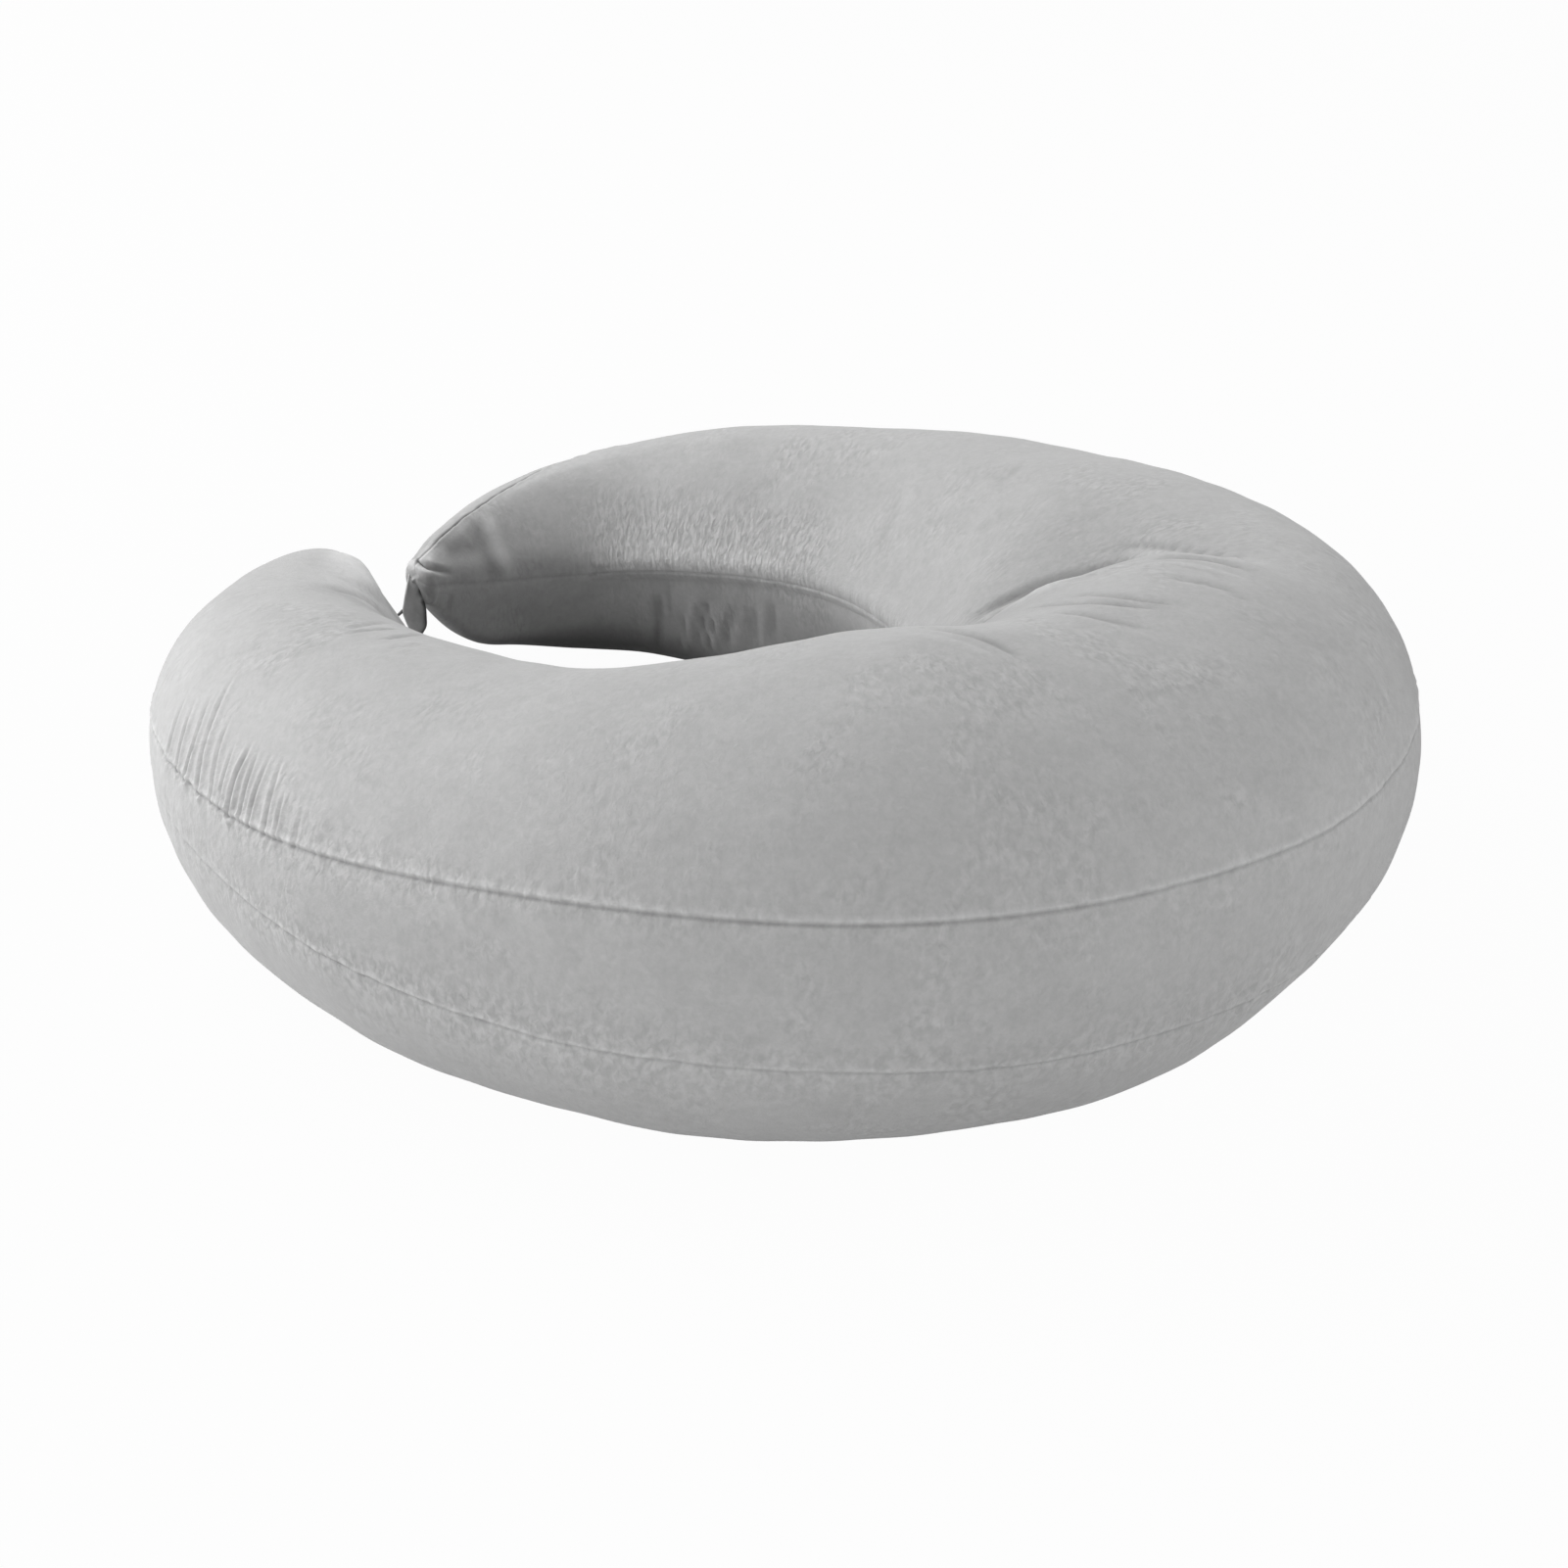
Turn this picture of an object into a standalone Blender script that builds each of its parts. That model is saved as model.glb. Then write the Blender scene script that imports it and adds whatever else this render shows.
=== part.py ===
"""A long crescent pillow, bent round into a ring until its two ends nearly meet.

The cover is three cut panels: a top panel, an under panel, and an outer band between them that
runs out to nothing at both ends.  They meet in two seams round the outside and one seam round the
hole.  The pillow is one filled solid.  A short end tab is sewn into one of the two gathered ends.

Units are metres and +Z is up.  The origin is the middle of the footprint's bounding box, on the
surface that the pillow rests on.
"""

from collections import namedtuple

import bmesh
import bpy
import numpy as np

# The pillow's body, section by section, from the blunt end, round the front and the thick right
# side, to the tapered end.
#   x, y        middle of the section in plan
#   half_width  from there to the edge of the hole, and as far again to the outside
#   top         height of the crown
#   widest      height of the widest line
#   base        height of the underside
#   seam_up     angle of the upper outer seam above the widest line, in degrees
#   seam_down   angle of the lower outer seam below it, in degrees
#   slope       how full the crown is towards the hole: 2 is an ellipse, 1 a straight slope
#   wall        how full the underside is towards the hole
Section = namedtuple("Section", "x y half_width top widest base seam_up seam_down slope wall")
SECTIONS = (
    Section(-0.263, 0.279, 0.013, 0.088, 0.071, 0.054, 8, -2, 1.75, 2.00),
    Section(-0.291, 0.258, 0.044, 0.148, 0.078, 0.010, 9, -3, 1.75, 2.00),
    Section(-0.320, 0.198, 0.079, 0.180, 0.084, 0.000, 12, -3, 1.75, 1.90),
    Section(-0.316, 0.090, 0.099, 0.208, 0.101, 0.000, 14, 1, 1.85, 1.80),
    Section(-0.246, -0.028, 0.118, 0.228, 0.114, 0.000, 17, 6, 2.00, 1.75),
    Section(-0.115, -0.120, 0.136, 0.256, 0.125, 0.000, 23, 12, 1.70, 1.75),
    Section(0.042, -0.143, 0.160, 0.284, 0.134, 0.000, 21, 13, 1.75, 1.75),
    Section(0.160, -0.097, 0.156, 0.280, 0.137, 0.000, 16, 21, 1.65, 1.75),
    Section(0.230, -0.005, 0.160, 0.271, 0.138, 0.000, 10, 27, 1.55, 1.75),
    Section(0.246, 0.112, 0.160, 0.252, 0.129, 0.000, 10, 27, 1.45, 1.75),
    Section(0.184, 0.268, 0.132, 0.219, 0.115, 0.000, 14, 23, 1.45, 1.75),
    Section(0.072, 0.381, 0.098, 0.189, 0.103, 0.000, 24, 16, 1.45, 1.75),
    Section(-0.036, 0.432, 0.079, 0.169, 0.091, 0.000, 40, 8, 1.45, 2.40),
    Section(-0.128, 0.444, 0.062, 0.149, 0.080, 0.001, 60, 0, 1.45, 1.90),
    Section(-0.212, 0.412, 0.040, 0.130, 0.077, 0.018, 85, -15, 1.50, 2.80),
    Section(-0.239, 0.388, 0.0285, 0.119, 0.081, 0.032, 86, -19, 1.60, 3.00),
    Section(-0.262, 0.362, 0.016, 0.106, 0.088, 0.071, 86, -25, 1.70, 2.20),
)
ROWS_PER_SPAN = 7

# How full the other quarters of a section are, on the same scale as slope.
OUTER_TOP, OUTER_UNDER = 2.15, 2.20
SAG = 0.10  # how far the underside would hang through the floor, as a share of its depth

SEAM_OF_HOLE = 174  # degrees round the section, from the outside over the crown

# Points round a section, panel by panel.
TOP_POINTS = 17
BAND_POINTS = 5
UNDER_POINTS = 15
SEAM_HALF_WIDTH = 0.007
SEAM_DEPTH = 0.004
SEAM_SHARE = 0.2  # the most that one side of a seam may take of a panel
NARROW = 0.028  # half width under which seams and pleats grow shallower

# The crease where the bent pillow buckles: a valley across the crown, from the seam of the hole
# outwards, steep on the front side and long on the back side.
CREASE_AT = 0.995  # distance along the pillow, where it lies farthest back
CREASE_TURN = 92  # degrees round the section there
CREASE_BEND = 0.066  # how far it bends forwards from there, for each radian squared
CREASE_FRONT = 0.045  # length of its front slope
CREASE_BACK = 0.190  # length of its back slope
CREASE_DEPTH = 0.042
CREASE_FROM, CREASE_DEEPEST, CREASE_TO = 48, 125, 215  # degrees round the section

# Pleats that gather the cover at both ends.
PLEATS = 7
PLEAT_DEPTH = 0.0035
PLEAT_REACH = 0.045

# The end tab: a doubled strip of the cover, which leaves the tapered end and hangs down.  It is
# narrow at the neck, and only its outer edge flares.
TAB_NECK = 0.010
TAB_WIDTH = 0.020
TAB_THICKNESS = 0.003
TAB_LEAVES = 0.009  # how far it runs outwards before it turns down
TAB_DROP = 0.046
TAB_TURN = 0.007  # radius of that turn
TAB_TURN_STEPS = 5
TAB_RUN_STEPS = 5
TAB_TWIST = 25  # degrees, by which it turns on itself towards the front

# The tongue: the tab's stitched binding, rolled thin, which sticks out at the flared edge.
TONGUE_AT = 6  # the ring of the tab that it leaves
TONGUE_RADIUS = 0.001
TONGUE_LENGTH = 0.016
TONGUE_SLOPE = 50  # degrees below level
TONGUE_SIDES = 6
PIECE_GAP = 0.0003

GREY_PLUSH = (0.40, 0.40, 0.40)
DARK_BINDING = (0.12, 0.12, 0.12)


def clear_scene():
    for old in list(bpy.data.objects):
        bpy.data.objects.remove(old)


def plush(name, colour):
    """A matt cloth with a little sheen."""
    material = bpy.data.materials.new(name)
    material.use_nodes = True
    shader = material.node_tree.nodes["Principled BSDF"]
    shader.inputs["Base Color"].default_value = (*colour, 1)
    shader.inputs["Roughness"].default_value = 0.9
    shader.inputs["Metallic"].default_value = 0.0
    shader.inputs["Sheen Weight"].default_value = 0.3
    return material


def smooth_step(share):
    """0 to 1 with level ends, for shares from 0 to 1."""
    share = np.clip(share, 0, 1)
    return share * share * (3 - 2 * share)


def spline(rows, per_span):
    """The smoothest cubic curve through the rows, and the distance along it in plan.

    Its second derivatives, the bends, are nought at both ends and come from one linear system.
    """
    rows = np.asarray(rows, float)
    gaps = np.hypot(*np.diff(rows[:, :2], axis=0).T)
    knots = np.concatenate([[0], np.cumsum(gaps)])
    slopes = np.diff(rows, axis=0) / gaps[:, None]
    system = np.eye(len(rows))
    wanted = np.zeros_like(rows)
    for i in range(1, len(gaps)):
        system[i, i - 1:i + 2] = gaps[i - 1], 2 * (gaps[i - 1] + gaps[i]), gaps[i]
        wanted[i] = 6 * (slopes[i] - slopes[i - 1])
    bends = np.linalg.solve(system, wanted)
    places = np.interp(np.arange(len(gaps) * per_span + 1) / per_span, np.arange(len(rows)), knots)
    span = np.clip(np.searchsorted(knots, places, side="right") - 1, 0, len(gaps) - 1)
    gap = gaps[span][:, None]
    behind = places[:, None] - knots[span][:, None]
    ahead = gap - behind
    cubic = (bends[span] * ahead**3 + bends[span + 1] * behind**3) / (6 * gap)
    start = (rows[span] / gap - bends[span] * gap / 6) * ahead
    stop = (rows[span + 1] / gap - bends[span + 1] * gap / 6) * behind
    return cubic + start + stop, places


def panel_angles(section):
    """Angles round one section, in degrees, and True where a point lies in a seam.

    They start at the seam of the hole and fall over the crown to the outside, at 0, and then
    under the pillow.  Each seam is a point with one more close by on either side.
    """
    half_seam = np.degrees(SEAM_HALF_WIDTH / max(section.half_width, NARROW))
    seams = (SEAM_OF_HOLE, section.seam_up, -section.seam_down, SEAM_OF_HOLE - 360)
    angles, in_seam = [], []
    for start, stop, count in zip(seams, seams[1:], (TOP_POINTS, BAND_POINTS, UNDER_POINTS)):
        edge = min(half_seam, (start - stop) * SEAM_SHARE)
        angles += [start, *np.linspace(start - edge, stop + edge, count)]
        in_seam += [True] + [False] * count
    return np.array(angles), np.array(in_seam)


def plain_outline(section, cosines, sines):
    """The plain outline of a section: distances outwards and heights, from powers of a circle."""
    outer, upper = cosines >= 0, sines >= 0
    top_full = np.where(outer, OUTER_TOP, section.slope)
    full = np.where(upper, top_full, np.where(outer, OUTER_UNDER, section.wall))
    across = np.sign(cosines) * np.abs(cosines) ** (2 / full)
    upwards = np.abs(sines) ** (2 / full)
    rise = section.top - section.widest
    fall = (section.widest - section.base) * (1 + SAG)
    return section.half_width * across, section.widest + np.where(upper, rise, -fall) * upwards


def crease_depth(place, angles):
    """Depth of the buckled valley at a place along the pillow, for angles round the section."""
    round_share = np.where(
        angles > CREASE_DEEPEST,
        (CREASE_TO - angles) / (CREASE_TO - CREASE_DEEPEST),
        (angles - CREASE_FROM) / (CREASE_DEEPEST - CREASE_FROM),
    )
    past = place - CREASE_AT + CREASE_BEND * np.radians(angles - CREASE_TURN) ** 2
    along_share = 1 - np.abs(past) / np.where(past < 0, CREASE_FRONT, CREASE_BACK)
    return CREASE_DEPTH * smooth_step(round_share) * smooth_step(along_share)


def section_points(section, place, to_end):
    """Distances outwards and heights of the points round one finished section."""
    angles, in_seam = panel_angles(section)
    turns = np.radians(angles)
    cosines, sines = np.cos(turns), np.sin(turns)
    out, height = plain_outline(section, cosines, sines)
    fade = min(1.0, section.half_width / NARROW)
    inwards = crease_depth(place, angles % 360) + SEAM_DEPTH * fade * in_seam
    inwards += PLEAT_DEPTH * np.exp(-to_end / PLEAT_REACH) * fade * np.cos(PLEATS * turns)
    return out - inwards * cosines, np.maximum(height - inwards * sines, 0)


def pillow_rings():
    """Every ring of points along the pillow, and the last ring's middle and outward direction."""
    samples, places = spline(SECTIONS, ROWS_PER_SPAN)
    plan = samples[:, :2]
    travel = np.gradient(plan, axis=0)
    travel /= np.linalg.norm(travel, axis=1)[:, None]
    outwards = np.stack([travel[:, 1], -travel[:, 0]], axis=1)
    run = np.concatenate([[0], np.cumsum(np.linalg.norm(np.diff(plan, axis=0), axis=1))])
    rings = []
    for row, place, middle, side, length in zip(samples, places, plan, outwards, run):
        out, height = section_points(Section(*row), place, min(length, run[-1] - length))
        rings.append(np.column_stack([middle + out[:, None] * side, height]))
    end = np.append(plan[-1], SECTIONS[-1].widest)
    return np.array(rings), end, np.append(travel[-1], 0)


def add_rings(mesh, rings):
    """Joins rings of points by quads, and closes both ends with a fan round a middle point."""
    loops = [[mesh.verts.new(point) for point in ring] for ring in rings]
    count = len(loops[0])
    for near, far in zip(loops, loops[1:]):
        for i in range(count):
            j = (i + 1) % count
            mesh.faces.new((near[i], near[j], far[j], far[i]))
    for loop, ring in ((loops[0][::-1], rings[0]), (loops[-1], rings[-1])):
        middle = mesh.verts.new(ring.mean(axis=0))
        for i in range(count):
            mesh.faces.new((loop[i], loop[(i + 1) % count], middle))


def make_object(name, rings, material, smooth):
    mesh = bmesh.new()
    add_rings(mesh, rings)
    bmesh.ops.recalc_face_normals(mesh, faces=mesh.faces)
    data = bpy.data.meshes.new(name)
    mesh.to_mesh(data)
    mesh.free()
    data.materials.append(material)
    if smooth:
        data.shade_smooth()
    made = bpy.data.objects.new(name, data)
    bpy.context.scene.collection.objects.link(made)
    return made


def tab_line():
    """The tab's middle line, as distances out from the pillow's end and heights above it."""
    runs_out = TAB_LEAVES - TAB_TURN
    turn = np.linspace(0, np.pi / 2, TAB_TURN_STEPS)
    bend = np.column_stack([runs_out + TAB_TURN * np.sin(turn), TAB_TURN * (np.cos(turn) - 1)])
    down = np.linspace(0, 1, TAB_RUN_STEPS + 1)[1:]
    hang = np.column_stack([np.full_like(down, TAB_LEAVES), -TAB_TURN - TAB_DROP * down])
    return np.vstack([[0, 0], bend, hang])


def turned(direction, degrees):
    """A level direction, turned about the upright."""
    turn = np.radians(degrees)
    x, y, z = direction
    return np.array([x * np.cos(turn) - y * np.sin(turn), x * np.sin(turn) + y * np.cos(turn), z])


def tab_rings(start, travel):
    """Rectangular rings along the tab, square to its line; each begins at the flared edge."""
    line = tab_line()
    ahead = np.gradient(line, axis=0)
    ahead /= np.linalg.norm(ahead, axis=1)[:, None]
    rings = []
    for share, (out, fall), (step_out, step_down) in zip(np.linspace(0, 1, len(line)), line, ahead):
        forward = turned(travel, TAB_TWIST * share)
        across = np.array([-forward[1], forward[0], 0])
        middle = start + travel * out + (0, 0, fall)
        flared = middle - across * (TAB_NECK / 2 + (TAB_WIDTH - TAB_NECK) * share)
        straight = middle + across * TAB_NECK / 2
        face = (forward * -step_down + np.array((0, 0, step_out))) * TAB_THICKNESS / 2
        rings.append([flared + face, straight + face, straight - face, flared - face])
    return np.array(rings)


def tongue_rings(tab):
    """Round rings along the tongue, from the flared edge of the tab."""
    ring = tab[TONGUE_AT]
    outwards = ring[0] - ring[1]
    outwards /= np.linalg.norm(outwards)
    slope = np.radians(TONGUE_SLOPE)
    along = outwards * np.cos(slope) - np.array((0, 0, np.sin(slope)))
    upright = outwards * np.sin(slope) + np.array((0, 0, np.cos(slope)))
    sideways = np.cross(along, upright)
    turns = np.arange(TONGUE_SIDES)[:, None] * 2 * np.pi / TONGUE_SIDES
    rim = TONGUE_RADIUS * (upright * np.cos(turns) + sideways * np.sin(turns))
    start = (ring[0] + ring[3]) / 2 + outwards * (PIECE_GAP + TONGUE_RADIUS)
    return np.array([start + rim, start + along * TONGUE_LENGTH + rim])


def main():
    clear_scene()
    cover = plush("grey_plush", GREY_PLUSH)
    body, end, travel = pillow_rings()
    tab = tab_rings(end + travel * PIECE_GAP, travel)
    low, high = body.min(axis=(0, 1)), body.max(axis=(0, 1))
    centre = np.append((low + high)[:2] / 2, 0)
    make_object("pillow_body", body - centre, cover, smooth=True)
    make_object("end_tab", tab - centre, cover, smooth=False)
    make_object("tab_tongue", tongue_rings(tab) - centre, plush("dark_binding", DARK_BINDING), smooth=False)


main()
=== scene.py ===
"""Looks of a long crescent pillow in grey plush, bent round into a ring.

The cover is worked out from the same sections as the part's solid, then pulled in at its seams,
gathered at its ends and creased where the bent filling buckles.  Units are metres and +Z is up.
"""

import math
from collections import namedtuple

import bpy
import numpy as np
from bpy.props import FloatProperty, FloatVectorProperty, PointerProperty
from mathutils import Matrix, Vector


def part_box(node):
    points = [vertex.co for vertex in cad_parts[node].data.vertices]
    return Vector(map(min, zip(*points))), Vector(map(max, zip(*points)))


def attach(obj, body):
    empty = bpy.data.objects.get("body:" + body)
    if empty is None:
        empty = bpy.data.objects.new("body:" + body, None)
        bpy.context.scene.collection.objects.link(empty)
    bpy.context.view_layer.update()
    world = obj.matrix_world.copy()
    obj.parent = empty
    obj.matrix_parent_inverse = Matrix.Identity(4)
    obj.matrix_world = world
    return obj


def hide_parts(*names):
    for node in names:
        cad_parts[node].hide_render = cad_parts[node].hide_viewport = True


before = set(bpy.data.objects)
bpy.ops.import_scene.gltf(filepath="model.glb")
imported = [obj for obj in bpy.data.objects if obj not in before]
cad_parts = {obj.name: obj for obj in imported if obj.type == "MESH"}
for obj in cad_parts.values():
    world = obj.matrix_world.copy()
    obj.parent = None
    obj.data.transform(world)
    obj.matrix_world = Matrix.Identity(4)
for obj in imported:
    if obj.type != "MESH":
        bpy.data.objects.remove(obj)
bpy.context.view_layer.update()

bl_info = {
    "name": "Reading pillow",
    "version": (1, 0, 0),
    "blender": (4, 5, 0),
    "location": "3D View > Sidebar > Pillow",
    "description": "Builds a plush crescent pillow bent into a ring, with its end tab and stage",
    "category": "Object",
}

# The pillow's body, section by section, from the blunt end, round the front and the thick right
# side, to the tapered end.
#   x, y        middle of the section in plan
#   half_width  from there to the edge of the hole, and as far again to the outside
#   top         height of the crown
#   widest      height of the widest line
#   base        height of the underside
#   seam_up     angle of the upper outer seam above the widest line, in degrees
#   seam_down   angle of the lower outer seam below it, in degrees
#   slope       how full the crown is towards the hole: 2 is an ellipse, 1 a straight slope
#   wall        how full the underside is towards the hole
Section = namedtuple("Section", "x y half_width top widest base seam_up seam_down slope wall")
SECTIONS = (
    Section(-0.263, 0.279, 0.013, 0.088, 0.071, 0.054, 8, -2, 1.75, 2.00),
    Section(-0.291, 0.258, 0.044, 0.148, 0.078, 0.010, 9, -3, 1.75, 2.00),
    Section(-0.320, 0.198, 0.079, 0.180, 0.084, 0.000, 12, -3, 1.75, 1.90),
    Section(-0.316, 0.090, 0.099, 0.208, 0.101, 0.000, 14, 1, 1.85, 1.80),
    Section(-0.246, -0.028, 0.118, 0.228, 0.114, 0.000, 17, 6, 2.00, 1.75),
    Section(-0.115, -0.120, 0.136, 0.256, 0.125, 0.000, 23, 12, 1.70, 1.75),
    Section(0.042, -0.143, 0.160, 0.284, 0.134, 0.000, 21, 13, 1.75, 1.75),
    Section(0.160, -0.097, 0.156, 0.280, 0.137, 0.000, 16, 21, 1.65, 1.75),
    Section(0.230, -0.005, 0.160, 0.271, 0.138, 0.000, 10, 27, 1.55, 1.75),
    Section(0.246, 0.112, 0.160, 0.252, 0.129, 0.000, 10, 27, 1.45, 1.75),
    Section(0.184, 0.268, 0.132, 0.219, 0.115, 0.000, 14, 23, 1.45, 1.75),
    Section(0.072, 0.381, 0.098, 0.189, 0.103, 0.000, 24, 16, 1.45, 1.75),
    Section(-0.036, 0.432, 0.079, 0.169, 0.091, 0.000, 40, 8, 1.45, 2.40),
    Section(-0.128, 0.444, 0.062, 0.149, 0.080, 0.001, 60, 0, 1.45, 1.90),
    Section(-0.212, 0.412, 0.040, 0.130, 0.077, 0.018, 85, -15, 1.50, 2.80),
    Section(-0.239, 0.388, 0.0285, 0.119, 0.081, 0.032, 86, -19, 1.60, 3.00),
    Section(-0.262, 0.362, 0.016, 0.106, 0.088, 0.071, 86, -25, 1.70, 2.20),
)
OUTER_TOP, OUTER_UNDER = 2.15, 2.20
SAG = 0.10
SEAM_OF_HOLE = 174  # degrees round the section, from the outside over the crown
SOFTENING = 0.07  # radians, over which the quarters of a section run into each other

ANGLE_COUNT = 1440  # samples round each section

# The crease where the bent pillow buckles, as in the solid.
CREASE_AT = 0.995  # distance along the pillow, where it lies farthest back
CREASE_TURN = 92  # degrees round the section there
CREASE_BEND = 0.066  # how far it bends forwards from there, for each radian squared
CREASE_FRONT = 0.045  # length of its front slope
CREASE_BACK = 0.190  # length of its back slope
CREASE_DEPTH = 0.042
CREASE_FROM, CREASE_DEEPEST, CREASE_TO = 48, 125, 215  # degrees round the section

# Rows along the pillow, stretch by stretch: how far each runs, and how many rows it has.
Stretch = namedtuple("Stretch", "start stop rows")
STRETCHES = (
    Stretch(0.000, 0.240, 66),
    Stretch(0.240, 0.410, 160),
    Stretch(0.410, 0.740, 76),
    Stretch(0.740, 1.100, 110),
    Stretch(1.100, 1.580, 98),
    Stretch(1.580, 1.7258, 80),
)
END_ROWS = 14  # more rows, which close each end in a small dome
END_DOME = 0.007  # height of that dome
END_ROUNDING = 0.8  # power of the dome's cosine: below 1 it is blunter than a ball
# Columns round the pillow: those close to a seam lie at these distances from it.  Between them
# the top, the band and the underside have their own, crowded towards both seams by a share.
SEAM_COLUMNS = (0.0007, 0.0014, 0.0022, 0.0032, 0.0046, 0.0070)
Panel = namedtuple("Panel", "columns crowding")
PANELS = (Panel(56, 0.00), Panel(16, 0.00), Panel(48, 0.45))
NARROW = 0.030  # half width under which seams and their columns draw together

# A zone runs from where an effect sets in, over where it is full and where it starts to fade, to
# where it is gone.
Zone = namedtuple("Zone", "start full fade gone")

# Creases and ridges in the cover.  Each runs through three places, given as the distance along
# the pillow and the degrees round it; it is a trough where its depth is above 0.
Fold = namedtuple("Fold", "along_1 round_1 along_2 round_2 along_3 round_3 depth width")
FOLDS = (
    # the blunt end
    Fold(0.056, 104, 0.078, 116, 0.098, 128, -0.0050, 0.0260),
    Fold(0.100, 150, 0.124, 141, 0.152, 134, 0.0045, 0.0180),
    Fold(0.169, 107, 0.134, 121, 0.102, 139, 0.0018, 0.0055),
    Fold(0.291, 94, 0.286, 104, 0.273, 117, 0.0011, 0.0034),
    Fold(0.300, 90, 0.301, 102, 0.300, 114, 0.0010, 0.0034),
    Fold(0.325, 96, 0.322, 108, 0.313, 120, 0.0012, 0.0036),
    Fold(0.339, 92, 0.347, 99, 0.352, 105, 0.0008, 0.0040),
    Fold(0.268, 84, 0.266, 87, 0.264, 92, 0.0007, 0.0030),
    # the buckled crease, and the fan of soft lines round it
    Fold(0.932, 150, 0.919, 134, 0.926, 112, -0.0020, 0.0120),
    Fold(0.928, 136, 0.924, 116, 0.940, 96, -0.0012, 0.0034),
    Fold(1.074, 150, 1.066, 127, 1.038, 99, 0.0032, 0.0060),
    Fold(1.072, 108, 1.030, 88, 0.952, 71, 0.0026, 0.0045),
    Fold(1.052, 108, 1.012, 88, 0.934, 72, -0.0020, 0.0045),
    Fold(0.934, 99, 0.943, 84, 0.938, 70, 0.0028, 0.0036),
    Fold(0.920, 101, 0.927, 84, 0.921, 70, -0.0014, 0.0036),
    Fold(0.899, 90, 0.906, 79, 0.901, 69, 0.0020, 0.0036),
    Fold(0.870, 115, 0.860, 93, 0.880, 79, 0.0020, 0.0034),
    Fold(0.858, 126, 0.845, 99, 0.873, 79, 0.0022, 0.0036),
    Fold(0.820, 106, 0.826, 90, 0.842, 78, 0.0019, 0.0038),
    Fold(0.718, 108, 0.741, 94, 0.756, 80, 0.0024, 0.0040),
    Fold(0.702, 103, 0.726, 91, 0.744, 80, -0.0012, 0.0040),
    # soft lines across the far arm
    Fold(1.282, 147, 1.292, 135, 1.302, 123, 0.0008, 0.0090),
    Fold(1.190, 129, 1.178, 123, 1.166, 118, 0.0008, 0.0090),
    Fold(1.217, 114, 1.218, 106, 1.219, 97, 0.0008, 0.0090),
    # the tapered end
    Fold(1.522, -174, 1.524, -152, 1.526, -131, 0.0028, 0.0050),
    Fold(1.509, -179, 1.510, -169, 1.510, -157, 0.0015, 0.0038),
    Fold(1.493, -167, 1.497, -154, 1.503, -136, 0.0018, 0.0026),
    Fold(1.481, -174, 1.491, -159, 1.497, -136, -0.0027, 0.0034),
    Fold(1.469, -173, 1.476, -162, 1.484, -143, 0.0026, 0.0030),
    Fold(1.466, -169, 1.473, -157, 1.480, -144, -0.0017, 0.0025),
    Fold(1.462, -168, 1.470, -155, 1.477, -141, 0.0024, 0.0026),
    Fold(1.458, -168, 1.464, -156, 1.470, -145, -0.0019, 0.0028),
    Fold(1.440, -174, 1.450, -162, 1.456, -147, 0.0022, 0.0050),
    Fold(1.424, -171, 1.425, -163, 1.425, -150, 0.0019, 0.0034),
    Fold(1.406, -175, 1.405, -166, 1.407, -154, 0.0020, 0.0034),
)

# Creases and ridges on the drawn-in face of the tapered end, each through three points of the
# part's own frame.
TipFold = namedtuple("TipFold", "first middle last depth width")
TIP_FOLDS = (
    TipFold((-0.262, 0.258, 0.105), (-0.250, 0.250, 0.101), (-0.232, 0.255, 0.094), 0.0062, 0.0031),
    TipFold((-0.266, 0.258, 0.082), (-0.256, 0.250, 0.093), (-0.238, 0.253, 0.089), -0.0020, 0.0026),
    TipFold((-0.223, 0.292, 0.124), (-0.212, 0.273, 0.103), (-0.205, 0.266, 0.078), 0.0020, 0.0075),
    TipFold((-0.211, 0.295, 0.124), (-0.201, 0.277, 0.101), (-0.193, 0.272, 0.080), -0.0018, 0.0075),
    TipFold((-0.241, 0.263, 0.107), (-0.228, 0.268, 0.107), (-0.214, 0.275, 0.104), 0.0020, 0.0120),
    TipFold((-0.237, 0.252, 0.083), (-0.238, 0.253, 0.073), (-0.239, 0.255, 0.063), 0.0012, 0.0030),
)

# Wrinkles in the cover that is gathered into the upper seam, over the blunt end's side: where
# each leaves the seam, how far up it comes to, and where its middle and its top lie.
Gather = namedtuple("Gather", "foot middle middle_round top top_round depth width")
GATHERS = (
    Gather(0.257, 0.254, 29, 0.246, 39, 0.0012, 0.0031),
    Gather(0.271, 0.266, 32, 0.257, 41, 0.0014, 0.0024),
    Gather(0.283, 0.279, 35, 0.262, 52, 0.0017, 0.0024),
    Gather(0.301, 0.290, 36, 0.272, 61, 0.0022, 0.0030),
    Gather(0.315, 0.306, 33, 0.297, 48, 0.0014, 0.0025),
    Gather(0.323, 0.319, 29, 0.315, 40, 0.0012, 0.0022),
    Gather(0.333, 0.331, 30, 0.329, 43, 0.0026, 0.0032),
    Gather(0.343, 0.341, 30, 0.336, 43, 0.0014, 0.0024),
    Gather(0.351, 0.350, 29, 0.348, 43, 0.0014, 0.0026),
    Gather(0.365, 0.362, 32, 0.356, 45, 0.0011, 0.0028),
    Gather(0.374, 0.372, 28, 0.370, 34, 0.0010, 0.0023),
    Gather(0.388, 0.388, 26, 0.386, 34, 0.0005, 0.0028),
)

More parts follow.
